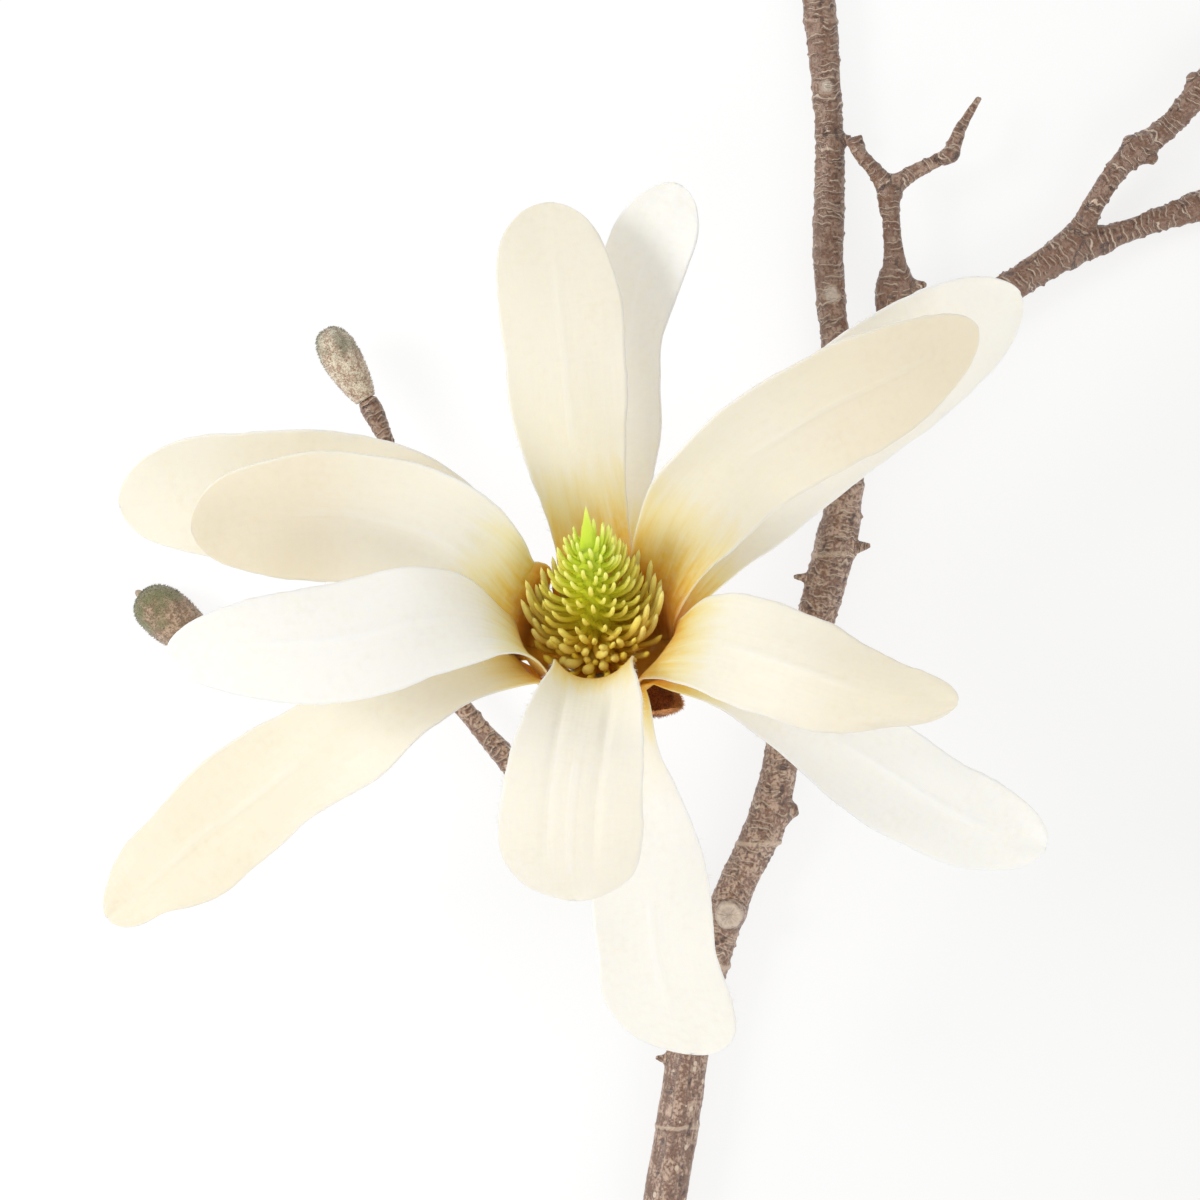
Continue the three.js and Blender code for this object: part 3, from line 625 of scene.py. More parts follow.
# ---------- tepals ----------
# Each tepal leaves the flower at an angle round it and follows its own path.
TEPALS = {
    "tepal_back_inner": dict(
        around=270, inner=True, width=14.4, widest=0.72, shape=2.4, roll=0, skew=0.02,
        cup=(1.6, 0.6), wave=0.25,
        path=[(0, 3.6, 31.5), (-1.2, 9, 33), (-3.2, 19.1, 34.5), (-4.3, 29.8, 34.5),
              (-5.6, 39.5, 32.5), (-6.1, 47.8, 28.5)]),
    "tepal_right_upper_inner": dict(
        around=330, inner=True, width=16, widest=0.6, shape=2.2, roll=32, skew=0,
        cup=(1.8, 1.2), wave=0.3,
        path=[(7.2, 1.2, 36), (10.6, 8.9, 38.5), (16.6, 16.5, 40.5), (25, 21.8, 41.5),
              (35.3, 26.8, 41), (44.8, 32, 38)]),
    "tepal_right_lower_inner": dict(
        around=28, inner=True, width=13.2, widest=0.5, shape=1.35, roll=-8, skew=0,
        cup=(1.2, -1.4), wave=0.4, slant=-1.6,
        path=[(8, -5.9, 42.5), (13.1, -5, 48), (20.2, -6.8, 52.5), (27.2, -9.3, 55.5),
              (33.8, -11.2, 57), (41, -11.7, 57)]),
    "tepal_front_inner": dict(
        around=90, inner=True, width=16.4, widest=0.74, shape=2.6, roll=0, skew=0,
        cup=(4.6, -0.9), wave=0.15,
        path=[(-0.8, -9.4, 45), (-1.5, -12.7, 54), (-2.4, -17.6, 59.5),
              (-3.2, -23.7, 60.5), (-3.4, -29.8, 57), (-3.1, -34.8, 50.5)]),
    "tepal_left_lower_inner": dict(
        around=152, inner=True, width=14, widest=0.6, shape=2, roll=10, skew=0,
        cup=(1.4, -1.2), wave=0.35,
        path=[(-9.3, -5.3, 42.5), (-14.2, -2.6, 47.5), (-20.8, -2.5, 51.5),
              (-29.9, -4.6, 55), (-40, -5.4, 57), (-49.6, -5.9, 57)]),
    "tepal_left_upper_inner": dict(
        around=208, inner=True, width=16.4, widest=0.62, shape=2.4, roll=-20, skew=0,
        cup=(1.6, 1.4), wave=0.3,
        path=[(-10.6, -1, 38), (-15.3, 4.4, 41), (-21.1, 8.2, 43.5), (-29.2, 10, 45),
              (-38, 9.8, 45), (-47.9, 8, 43)]),
    "tepal_back_outer": dict(
        around=298, inner=False, width=11.2, widest=0.7, shape=2.8, roll=-18, skew=0,
        cup=(1.2, 0.8), wave=0.4,
        path=[(1.2, 3.4, 27), (1.6, 13.3, 26), (2.6, 24.2, 25), (4.1, 35.1, 25),
              (6.1, 43, 25), (9.5, 50.4, 24)]),
    "tepal_right_upper_outer": dict(
        around=345, inner=False, width=16.4, widest=0.64, shape=2.3, roll=22, skew=0,
        cup=(1.4, 1), wave=0.4,
        path=[(9.1, -0.8, 31.5), (13.4, 6, 31), (20.2, 14.4, 30.5), (29.2, 22.8, 29.5),
              (39.8, 30.2, 28), (51, 36.8, 25)]),
    "tepal_right_lower_outer": dict(
        around=38, inner=False, width=12.6, widest=0.7, shape=2.3, roll=-6, skew=0,
        cup=(1.2, 0.4), wave=0.4,
        path=[(8.5, -8.5, 38), (13.9, -9.2, 39), (23, -13.4, 37.5),
              (32.6, -19.6, 34.5), (43.1, -25.8, 31), (53.8, -29.8, 27)]),
    "tepal_front_outer": dict(
        around=86, inner=False, width=14.8, widest=0.66, shape=6, roll=0, skew=0,
        cup=(1.6, 0.3), wave=0.4, slant=-3.6,
        path=[(0.8, -11.2, 41), (1.8, -16.2, 43.5), (3.9, -25, 41), (5.8, -34, 36.5),
              (6.9, -43.6, 31), (10.6, -55, 23.5)]),
    "tepal_left_lower_outer": dict(
        around=142, inner=False, width=13.6, widest=0.66, shape=2.4, roll=8, skew=0,
        cup=(1.2, 0.4), wave=0.55, ruffle=0.45,
        path=[(-9.4, -8, 39.5), (-15.3, -8.4, 42), (-25.2, -12.6, 42),
              (-36.2, -20, 40), (-47.2, -28.4, 37), (-58.8, -38, 33)]),
    "tepal_left_upper_outer": dict(
        around=216, inner=False, width=16, widest=0.66, shape=2.6, roll=-14, skew=0,
        cup=(1.4, 1), wave=0.35,
        path=[(-10.3, -1.2, 33), (-16.7, 6.2, 34.5), (-25, 11.2, 35.5),
              (-35.7, 13, 35.5), (-46.5, 12.6, 34), (-57.6, 11.6, 31)]),
}
# Painted shade on each tepal: how much darker than ivory its cloth is painted, near the foot
# and at the tip, for shade and for two layers lying over each other.
PAINTED_SHADE = {
    "tepal_back_inner": (0.5, 0.65), "tepal_right_upper_inner": (0.45, 1.0),
    "tepal_right_lower_inner": (0.3, 0.85), "tepal_front_inner": (0.4, 0.55),
    "tepal_left_lower_inner": (0.0, 0.0), "tepal_left_upper_inner": (0.0, 1.0),
    "tepal_back_outer": (0.0, 0.0), "tepal_right_upper_outer": (0.15, 0.25),
    "tepal_right_lower_outer": (0.0, 0.0), "tepal_front_outer": (0.1, 0.25),
    "tepal_left_lower_outer": (0.6, 0.9), "tepal_left_upper_outer": (0.45, 0.65),
}
# The amber dye runs out sooner on these than on the others.
SHORT_DYE = {
    "tepal_front_inner": 1.45, "tepal_left_lower_inner": 1.25,
    "tepal_right_lower_inner": 1.25, "tepal_back_outer": 1.2,
    "tepal_right_upper_outer": 1.3, "tepal_right_lower_outer": 1.5,
    "tepal_front_outer": 1.6, "tepal_left_lower_outer": 1.6,
    "tepal_left_upper_outer": 1.3,
}
# Where an edge swells or draws in: side (1 is on the right, looking from foot to
# tip), place along the tepal, how far it spreads, how much.
EDGE_SWELLS = {
    "tepal_back_outer": [(1, 0.66, 0.1, -1.0), (1, 0.9, 0.1, 0.7), (1, 0.42, 0.12, 0.7)],
    "tepal_back_inner": [
        (-1, 0.9, 0.1, 0.5), (-1, 0.5, 0.12, 0.4), (1, 0.75, 0.1, 0.3),
        (-1, 0.12, 0.09, 1.5)],
    "tepal_left_upper_inner": [(1, 0.17, 0.09, 1.9)],
    "tepal_left_lower_inner": [(-1, 0.2, 0.1, -1.3)],
    "tepal_left_lower_outer": [
        (1, 0.13, 0.1, 2.0),
        (1, 0.52, 0.07, -0.9), (1, 0.66, 0.07, 0.5), (-1, 0.4, 0.09, 0.9),
        (-1, 0.58, 0.06, -0.7), (-1, 0.8, 0.05, 0.5), (-1, 0.91, 0.04, -0.6)],
    "tepal_left_upper_outer": [(1, 0.45, 0.1, 0.5), (1, 0.72, 0.1, -0.4)],
    "tepal_right_lower_inner": [(1, 0.7, 0.1, 0.5), (1, 0.86, 0.06, -0.8)],
    "tepal_right_lower_outer": [(-1, 0.75, 0.12, -0.5), (1, 0.6, 0.12, 0.4)],
    "tepal_front_outer": [(-1, 0.78, 0.12, -0.3), (1, 0.7, 0.12, -0.4)],
}
INNER_FOOT = dict(radius=4.4, height=0, bowl=(8, 1.1))
OUTER_FOOT = dict(radius=4.7, height=-2.2, bowl=(7.8, -1.1))
FOOT_HALF_WIDTH = 1.7
CLOTH_THICKNESS = 0.24
TEPAL_ROWS = 104
TEPAL_COLUMNS = 40
# Where the pressed rib of a tepal starts and ends along it, and how high it is.
RIBS = {
    "tepal_back_inner": (0.42, 0.9, 0.10),
    "tepal_right_upper_inner": (0.45, 0.93, 0.20),
    "tepal_right_lower_inner": (0.36, 0.8, 0.14),
    "tepal_front_inner": (0.5, 0.92, 0.16),
    "tepal_left_lower_inner": (0.36, 0.86, 0.16),
    "tepal_left_upper_inner": (0.36, 0.82, 0.16),
    "tepal_front_outer": (0.55, 0.93, 0.18),
    "tepal_left_lower_outer": (0.5, 0.95, 0.2),
    "tepal_right_lower_outer": (0.45, 0.9, 0.16),
}


class Tepal:
    """The middle surface of one tepal, in layout millimetres."""

    def __init__(self, name, facts):
        self.name = name
        self.facts = facts
        foot = INNER_FOOT if facts["inner"] else OUTER_FOOT
        radial = outwards(facts["around"])
        bowl_radius, bowl_height = foot["bowl"]
        self.route = Route([
            on_axis(foot["height"]) + radial * foot["radius"],
            on_axis(bowl_height) + radial * bowl_radius,
            *np.array(facts["path"], float),
        ])
        self.at_foot = -np.cross(FLOWER_AXIS, radial)
        chord = unit(self.route.at(1.0) - self.route.at(0.45))
        flat = unit(np.cross(chord, UP))
        roll = math.radians(facts["roll"])
        self.at_tip = flat * math.cos(roll) + np.cross(chord, flat) * math.sin(roll)
        self.seed = sum(map(ord, name))

    def half(self, u):
        facts = self.facts
        rise = np.sin(math.pi / 2 * np.minimum(1, u / facts["widest"])) ** 1.15
        over = np.maximum(0, (u - facts["widest"]) / (1 - facts["widest"]))
        full = FOOT_HALF_WIDTH + (0.5 * facts["width"] - FOOT_HALF_WIDTH) * rise
        full = full + 1.5 * smooth(0, 0.05, u) * (1 - smooth(0.1, 0.28, u))
        return full * np.sqrt(np.maximum(0, 1 - over ** facts["shape"]))

    def axes(self, u):
        along = self.route.heading(u)
        turn = smooth(0.1, 0.5, u)[..., None]
        across = mix(self.at_foot, self.at_tip, turn)
        across = unit(across - along * dot(along, across))
        return along, across, np.cross(across, along)

    def rib(self, u, v):
        start, end, height = RIBS.get(self.name, (0.4, 0.9, 0.0))
        offset = v * self.half(u)
        fade = smooth(start, start + 0.1, u) * (1 - smooth(end - 0.12, end, u))
        wander = 0.25 * grain(np.stack([u * 9, 0 * u, 0 * u], -1), self.seed)
        return fade * bump(offset - wander, 0.42), height

    def surface(self, u, v):
        facts = self.facts
        along, across, face = self.axes(u)
        half = self.half(u)
        edge = np.abs(v) ** 6
        side = np.sign(v)
        nibble = grain(np.stack([u * 46, side * 3.3, 0 * u], -1), self.seed + 5)
        lobes = grain(np.stack([u * 11, side * 5.1, 0 * u], -1), self.seed + 9)
        ruffle = facts.get("ruffle", 0.2)
        free = smooth(0, 0.2, u) * np.minimum(1, half / 3)
        reach = half + edge * (0.07 * nibble + ruffle * lobes) * free
        for edge_side, centre, width, amount in EDGE_SWELLS.get(self.name, ()):
            reach = reach + amount * bump(u - centre, width) * smooth(
                0, 1, edge_side * v) * np.minimum(1, half / 3)
        cup = mix(*facts["cup"], smooth(0.15, 0.7, u))
        lift = cup * (half / (0.5 * facts["width"])) * v * v
        lift += facts["wave"] * v * v * free * np.sin(9 * u + 2.1 * v)
        soft = np.stack([u * 7, v * 1.6, 0 * u], -1)
        lift += 0.22 * grain(soft, self.seed + 2) * free
        flutter = np.stack([u * 22, side * 2.2, 0 * u], -1)
        lift += 0.16 * edge * grain(flutter, self.seed + 3) * free
        pressed, height = self.rib(u, v)
        lift += height * pressed
        if self.name == "tepal_front_inner":
            for groove in (-2.6, 2.9):
                fade = smooth(0.25, 0.45, u) * (1 - smooth(0.7, 0.9, u))
                lift -= 0.28 * fade * bump(v * half - groove, 0.6)
        if self.name == "tepal_right_lower_inner":
            lift -= 1.1 * smooth(0.72, 1.0, v) * smooth(0.5, 0.72, u) * (half / 5)
        slant = facts.get("slant", 0) * smooth(0.55, 1, u) * v * half / (
            0.5 * facts["width"])
        return (
            self.route.at(u)
            + across * (v * reach * (1 + facts["skew"] * v))[..., None]
            + face * lift[..., None]
            + along * slant[..., None]
        )


def build_tepal(tepal):
    bm = tagged("from_foot", "rib", "edge", "warmth")
    made = bmesh.ops.create_grid(
        bm, x_segments=TEPAL_COLUMNS, y_segments=TEPAL_ROWS, size=1, calc_uvs=True
    )
    plan = bm.loops.layers.uv.active or bm.loops.layers.uv.new("cloth")
    grid = np.array([vert.co[:2] for vert in made["verts"]])
    v = np.clip(-grid[:, 0], -1, 1)
    u = 1 - (1 - np.clip((grid[:, 1] + 1) / 2, 0, 1)) ** 1.6
    points = metres(tepal.surface(u, v))
    ribs, _ = tepal.rib(u, v)
    far = u * tepal.route.length
    from_foot, rib, edge, warmth = (
        bm.verts.layers.float[name] for name in ("from_foot", "rib", "edge", "warmth")
    )
    near_painted_shade, tip_painted_shade = PAINTED_SHADE[tepal.name]
    dye = SHORT_DYE.get(tepal.name, 1.0)
    places = {}
    for i, vert in enumerate(made["verts"]):
        vert.co = points[i]
        vert[from_foot] = dye * far[i] / 50
        # Painted shade, from its amount at the foot to its amount at the tip.
        vert[warmth] = mix(near_painted_shade, tip_painted_shade, float(smooth(0.3, 0.8, u[i])))
        # rib and edge say where the painted highlight goes, along the rib and along the rim.
        vert[rib] = ribs[i]
        vert[edge] = float(smooth(0.93, 1.0, abs(v[i])) * smooth(0.1, 0.3, u[i]))
        places[vert] = (v[i] * tepal.half(u[i]) * MM, far[i] * MM)
    for face in bm.faces:
        for loop in face.loops:
            loop[plan].uv = places[loop.vert]
    bmesh.ops.remove_doubles(bm, verts=bm.verts, dist=1e-7)
    piece = add_piece(tepal.name + "_cloth", bm, CLOTH, "tepal", tepal.name)
    piece.data.uv_layers[0].name = "cloth"
    thick = piece.modifiers.new("thickness", "SOLIDIFY")
    thick.thickness = CLOTH_THICKNESS * MM
    thick.offset = 0
    return points


tepals = {name: Tepal(name, facts) for name, facts in TEPALS.items()}
cloth_points = np.vstack([build_tepal(tepal) for tepal in tepals.values()])
near_cloth = kdtree.KDTree(len(cloth_points))
for index, point in enumerate(cloth_points):
    near_cloth.insert(point, index)
near_cloth.balance()


# ---------- frayed threads ----------
# Tepal, edge (1 is on the right, looking from foot to tip), start and end along
# it, how many threads, their longest.
FRAYS = [
    ("tepal_back_inner", 1, 0.12, 0.9, 40, 0.7),
    ("tepal_back_inner", -1, 0.1, 0.7, 36, 0.9),
    ("tepal_back_outer", -1, 0.15, 0.8, 60, 1.5),
    ("tepal_back_outer", 1, 0.1, 0.5, 30, 1.1),
    ("tepal_front_inner", 1, 0.12, 0.75, 110, 0.8),
    ("tepal_front_inner", -1, 0.12, 0.8, 110, 0.8),
    ("tepal_front_outer", -1, 0.4, 0.97, 46, 1.2),
    ("tepal_left_upper_inner", -1, 0.1, 0.8, 40, 0.6),
    ("tepal_left_lower_inner", 1, 0.1, 0.9, 50, 0.7),
    ("tepal_left_lower_inner", -1, 0.1, 0.9, 50, 0.7),
    ("tepal_left_lower_outer", 1, 0.15, 0.9, 46, 0.7),
    ("tepal_left_lower_outer", -1, 0.2, 0.97, 46, 0.6),
    ("tepal_right_upper_inner", -1, 0.15, 0.8, 40, 0.8),
    ("tepal_right_upper_outer", -1, 0.15, 0.8, 50, 0.9),
    ("tepal_right_lower_inner", 1, 0.1, 0.9, 44, 0.7),
    ("tepal_right_lower_outer", 1, 0.2, 0.95, 40, 0.7),
]


def build_threads():
    rnd = random.Random(4)
    bm = bmesh.new()
    for name, side, start, end, count, longest in FRAYS:
        tepal = tepals[name]
        for _ in range(count):
            u = np.array(rnd.uniform(start, end))
            v = np.array(float(side))
            foot = tepal.surface(u, v)
            along, across, face = tepal.axes(u)
            lean = along * rnd.uniform(-0.9, 1.3) + face * rnd.uniform(-0.6, 0.6)
            way = unit(across * side + lean)
            bend = unit(along * rnd.uniform(-1, 1) + face * rnd.uniform(-1, 1))
            length = longest * rnd.uniform(0.25, 1) ** 1.6
            curl = rnd.uniform(0.1, 0.5) * length
            girth = rnd.uniform(0.018, 0.03)

            def place(turn, share):
                centre = foot + way * (length * share - 0.08) + bend * curl * share**2
                angle = 2 * math.pi * turn
                ring = face * math.cos(angle) + along * math.sin(angle)
                return metres(centre + ring * girth * (1 - 0.7 * share))

            wrap(bm, 3, 4, place)
    close_up(bm, 1e-7)
    add_piece("frayed_threads", bm, FLUFF, "tepal")


build_threads()


# ---------- the green cone ----------
CONE_PROFILE = Route([
    (2.3, 0.5, 0), (2.5, 3, 0), (2.3, 7, 0), (2.0, 11, 0), (1.75, 14, 0),
    (1.45, 16, 0), (1.2, 17.3, 0),
])
CONE_TOP = 22.9
LEAF_FOOT = 15.8
CONE_FINGERS = 128
GOLDEN_ANGLE = 137.5
# A finger that comes too near the cloth is shortened step by step.
CLOTH_CLEARANCE = 0.28
SHRINK = 0.09
SHRINK_STEPS = 9


def finger(bm, height, degrees, root, reach, rise, girth, sides, rings, tags,
           flare=0.0, lean=0.0):
    """A finger that leaves the core sideways and turns up along the axis; flare
    swells its end, lean turns it sideways."""
    radial = outwards(degrees)
    side = np.cross(FLOWER_AXIS, radial)
    spots = [
        (0, 0), (0.45 * reach, 0.18 * rise), (0.82 * reach, 0.54 * rise), (reach, rise)
    ]
    for attempt in range(SHRINK_STEPS):
        shrink = 1 - SHRINK * attempt
        route = Route([
            on_axis(height + h * (0.6 + 0.4 * shrink)) + radial * (root + r * shrink)
            + side * lean * (h / max(rise, 0.1)) ** 2
            for r, h in spots
        ], 10)
        gaps = [near_cloth.find(metres(route.at(t)))[2] for t in (0.5, 0.75, 1.0)]
        if min(gaps) > (girth + CLOTH_CLEARANCE) * MM:
            break

    def place(turn, share):
        centre = route.at(share)
        along = route.heading(share)
        other = unit(np.cross(along, side))
        angle = 2 * math.pi * turn
        body = 1 - 0.35 * share + flare * smooth(0.45, 0.85, share)
        closing = math.sqrt(max(0.0, 1 - max(0.0, (share - 0.8) / 0.2) ** 2))
        r = girth * float(body) * closing
        return metres(centre + side * r * math.cos(angle) + other * r * math.sin(angle))

    wrap(bm, sides, rings, place, {"share": lambda turn, share: share, **tags})


def build_cone():
    rnd = random.Random(12)
    bm = tagged("tier", "share", "lot")

    def core(turn, share):
        r, h, _ = CONE_PROFILE.at(share)
        if share > 0.999:
            r = 0.0
        angle = 360 * turn
        rough = 1 + 0.06 * float(grain([math.cos(math.radians(angle)) * 3,
                                        math.sin(math.radians(angle)) * 3, h * 0.9]))
        return metres(on_axis(h) + outwards(angle) * r * rough)

    wrap(bm, 28, 40, core, {
        "tier": lambda turn, share: share ** 0.8, "share": 0.1, "lot": 0.0,
    })

    def leaf(turn, share):
        height = mix(LEAF_FOOT, CONE_TOP, share)
        half = 1.35 * (1 - share) ** 0.95
        thick = 0.6 * (1 - share) ** 0.8
        angle = 2 * math.pi * turn
        keel = 0.25 * abs(math.cos(angle)) * (1 - share)
        return metres(
            on_axis(height) + ACROSS * half * math.cos(angle)
            + FORWARD * (thick * math.sin(angle) + keel + 0.15 - 0.7 * share)
        )

    wrap(bm, 16, 22, leaf, {
        "tier": 1.0, "share": lambda turn, share: 0.25 + 0.6 * share ** 3, "lot": 0.0,
    })
    for i in range(CONE_FINGERS):
        u = i / (CONE_FINGERS - 1)
        height = 3.2 + 13.6 * u
        degrees = GOLDEN_ANGLE * i + rnd.uniform(-7, 7)
        back = max(0.0, -math.sin(math.radians(degrees)))
        right = max(0.0, math.cos(math.radians(degrees)))
        reach = 5.3 * (1 - u) ** 0.8 + 0.65 + rnd.uniform(-0.3, 0.4)
        rise = 2.2 + 1.7 * (1 - u) + rnd.uniform(-0.3, 0.7) + 3.2 * back * right
        girth = mix(0.43, 0.31, u) * rnd.uniform(0.9, 1.12)
        finger(bm, height, degrees, 1.5 - 0.5 * u, reach, rise, girth, 6, 9, {
            "tier": 0.15 + 0.85 * u, "lot": rnd.random() ** 2 * (1 - 0.6 * u),
        }, lean=rnd.uniform(-0.3, 0.3))
    close_up(bm, 1e-7)
    add_piece("cone", bm, CONE_GREEN, "cone", "pistil_cone")


build_cone()


# ---------- stamens ----------
def build_stamens():
    rnd = random.Random(31)
    bm = tagged("tier", "share", "lot")

    def bowl(turn, share):
        r = mix(2.0, 4.6, share)
        return metres(on_axis(0.9 + 1.2 * (1 - share)) + outwards(360 * turn) * r)

    wrap(bm, 40, 4, bowl, {"tier": 0.0, "share": 0.1, "lot": 0.0})
    for i in range(46):
        degrees = 360 * i / 46 + rnd.uniform(-4, 4)
        front = max(0.0, math.sin(math.radians(degrees)))
        ring = i % 2
        finger(bm, 1.5 + 0.9 * ring, degrees, 2.6, (5.2 - 1.2 * ring) * rnd.uniform(0.8, 1.1),
               (4.4 - 2.4 * front) * rnd.uniform(0.8, 1.25), 0.42 * rnd.uniform(0.9, 1.2),
               6, 8, {"tier": rnd.uniform(0.1, 0.7), "lot": rnd.random()},
               flare=0.25, lean=rnd.uniform(-0.5, 0.5))
    # The blunt, curled ones at the front, then the tall single ones by the sides.
    for degrees, height, reach, rise, girth in (
        (54, 3.6, 3.9, 3.8, 0.44), (64, 3.0, 4.3, 2.2, 0.5), (73, 4.0, 3.8, 3.0, 0.46),
        (80, 2.8, 4.6, 1.6, 0.56), (88, 3.8, 4.1, 2.4, 0.5), (96, 2.6, 4.8, 1.4, 0.6),
        (103, 3.9, 3.9, 2.6, 0.46), (111, 2.8, 4.7, 1.8, 0.58), (119, 3.8, 4.0, 2.6, 0.5),
        (127, 2.8, 4.8, 2.0, 0.56), (135, 3.8, 4.2, 3.2, 0.48), (146, 3.2, 4.6, 3.4, 0.46),
        (68, 4.8, 3.1, 3.6, 0.38), (99, 4.9, 3.1, 3.2, 0.4), (122, 4.9, 3.2, 3.2, 0.4),
        (46, 4.0, 4.3, 5.6, 0.42),
    ):
        finger(bm, height, degrees, 2.6, reach, rise, girth, 8, 10,
               {"tier": 0.8, "lot": rnd.random()}, flare=0.4, lean=rnd.uniform(-1.6, 1.6))
    for degrees, height, reach, rise in (
        (10, 2.2, 6.0, 9.0), (22, 2.2, 5.6, 6.6), (172, 2.2, 5.9, 7.6), (186, 2.0, 5.8, 6.2),
        (228, 2.2, 5.6, 9.4), (236, 2.2, 5.2, 8.4), (312, 2.2, 5.8, 9.6), (304, 2.2, 5.2, 8.6),
        (345, 2.2, 5.9, 7.0), (200, 2.2, 5.8, 7.4), (156, 2.6, 5.6, 5.2), (163, 2.4, 5.0, 6.2),
        (180, 2.6, 5.2, 8.2), (193, 2.4, 5.4, 8.6), (210, 2.4, 5.6, 9.0), (0, 2.4, 5.6, 8.0),
        (352, 2.2, 5.0, 9.2), (332, 2.2, 5.5, 8.8), (36, 2.8, 5.2, 5.8), (28, 3.0, 4.8, 7.6),
    ):
        finger(bm, height, degrees, 2.6, reach, rise, 0.44, 6, 12,
               {"tier": 1.0, "lot": rnd.random()}, flare=0.15, lean=rnd.uniform(-0.6, 0.6))
    close_up(bm, 1e-7)
    add_piece("stamen_ring", bm, STAMEN_YELLOW, "stamens", "stamens")


build_stamens()

# ---------- branch ----------
# Limbs as stations x, y, z, radius.
LIMBS = {
    "main": [
        (4.6, -100.3, 2.8, 2.8), (6.4, -87.8, 2.8, 2.75), (8.1, -75.2, 2.8, 2.7),
        (9.9, -64.5, 3, 2.75), (11.3, -55.1, 3.2, 2.6), (13.3, -47, 3.4, 2.45),
        (15.9, -38.6, 3.5, 2.4), (18.2, -33.4, 3.5, 2.35), (20.9, -27.8, 3.6, 2.55),
        (22.6, -20.3, 3.6, 2.25), (24.1, -12.5, 3.6, 2.35), (26.9, -2.8, 3.5, 2.45),
        (29, 4.8, 3.4, 2.6), (30.5, 12.3, 3.3, 2.4), (30.8, 20.1, 3.2, 2.45),
        (30.3, 27, 3.1, 2.1), (29.4, 33.9, 3, 1.8), (28.6, 43.4, 2.9, 1.95),
        (28.8, 50.2, 2.8, 1.95), (28.8, 58.5, 2.7, 1.8), (28.4, 64.3, 2.6, 1.85),
        (27.9, 70.3, 2.5, 2.05), (27.5, 75.3, 2.4, 2.1), (27.1, 81.6, 2.2, 1.8),
        (26.5, 89.2, 1.9, 1.6), (26.1, 95.5, 1.6, 1.3), (25.9, 101.1, 1.1, 0.8),
    ],
    "right": [
        (30.8, 20.1, 3.2, 2.2), (35.1, 25.3, 3.4, 2.2), (41.3, 31.9, 3.6, 2.1),
        (48.2, 37.2, 3.6, 2.05), (53.3, 40.4, 3.4, 2), (57.6, 43.2, 3.3, 2.2),
        (59.8, 45.2, 3.2, 1.9),
    ],
    "right_upper": [
        (58, 43, 3.2, 1.9), (60.4, 46.8, 3.3, 1.5), (62.6, 50.8, 3.6, 1.4),
        (65.4, 54.6, 3.8, 1.5), (67.4, 56.4, 3.8, 1.85), (70.6, 58.8, 3.6, 1.5),
        (73.4, 61.6, 3.4, 1.6), (75.4, 64, 3.2, 1.9), (78.4, 67.6, 2.6, 1.45),
        (81.4, 71.4, 1.8, 1.2), (83.7, 74.6, 1.1, 0.8),
    ],
    "right_lower": [
        (58.4, 43.4, 3.2, 2), (62.4, 45, 3, 1.75), (66.4, 46.4, 2.8, 1.5),
        (70.4, 47.8, 2.6, 1.5), (73.4, 48.8, 2.5, 1.75), (75.6, 49.4, 2.4, 1.95),
        (79.8, 49.8, 2, 1.45), (84.8, 50.6, 1.6, 1.2), (89.2, 52.2, 1, 0.7),
    ],
    "spur": [
        (39.2, 30.6, 3.6, 1.9), (37.4, 34.4, 4.2, 2), (36.5, 37.4, 5, 2.2),
        (36.8, 40.2, 5.5, 2.2), (36.8, 42, 5.7, 1.5), (36.4, 46.4, 6, 1.15),
        (36.1, 49.6, 6, 1.35), (36.1, 51.4, 6, 1.45),
    ],
    "spur_left": [
        (36.2, 51.2, 6, 1.35), (34.4, 53.4, 6.4, 1), (32.4, 55.7, 6.8, 0.95),
        (31.6, 57.6, 7.2, 1.1),
    ],
    "spur_right": [
        (36.1, 51.4, 6, 1.35), (39.2, 53.4, 6.2, 0.95), (41.9, 54.8, 6.4, 0.9),
        (43.5, 55.6, 6.4, 1.05), (45.1, 59, 6, 0.7), (47.4, 62.8, 5.4, 0.35),
    ],
    "side": [
        (13, -49.6, 3.3, 1.9), (9, -45.4, 3.6, 1.65), (1.5, -36.8, 4, 1.45),
        (-5.4, -28.6, 4.4, 1.35), (-11.9, -19.6, 4.6, 1.5), (-15.1, -15.9, 4.6, 1.25),
        (-17.8, -12.7, 4.6, 1.3), (-20.5, -10, 4.6, 1.5),
    ],
    "upper_bud_twig": [
        (-20, -10.6, 4.6, 1.4), (-21.3, -2.5, 5.4, 1.2), (-23, 6.2, 6.2, 1.15),
        (-24.9, 14.7, 6.8, 1.05), (-26.3, 19, 7, 0.9), (-27.4, 21.6, 7.1, 1.1),
        (-28.4, 23.7, 7.2, 1.4), (-29.05, 24.85, 7.2, 1.2),
    ],
    "lower_bud_twig": [
        (-19.8, -10.4, 4.6, 1.35), (-25.6, -8.9, 4.5, 1.2), (-33.2, -8.2, 4.2, 1.15),
        (-40.2, -8.6, 3.8, 1.1), (-45.6, -8.6, 3.4, 1.25), (-47.5, -7.3, 3.3, 1.5),
        (-48.55, -6.45, 3.3, 1.35),
    ],
    "stalk": [
        (6.4, -41.4, 4, 1.7), (4.4, -36, 8, 1.5), (2.8, -28, 14.5, 1.5),
        (1.4, -20.4, 21, 1.55), (0.5, -14, 26.2, 1.8), (0.05, -10.9, 28.95, 2),
    ],
}
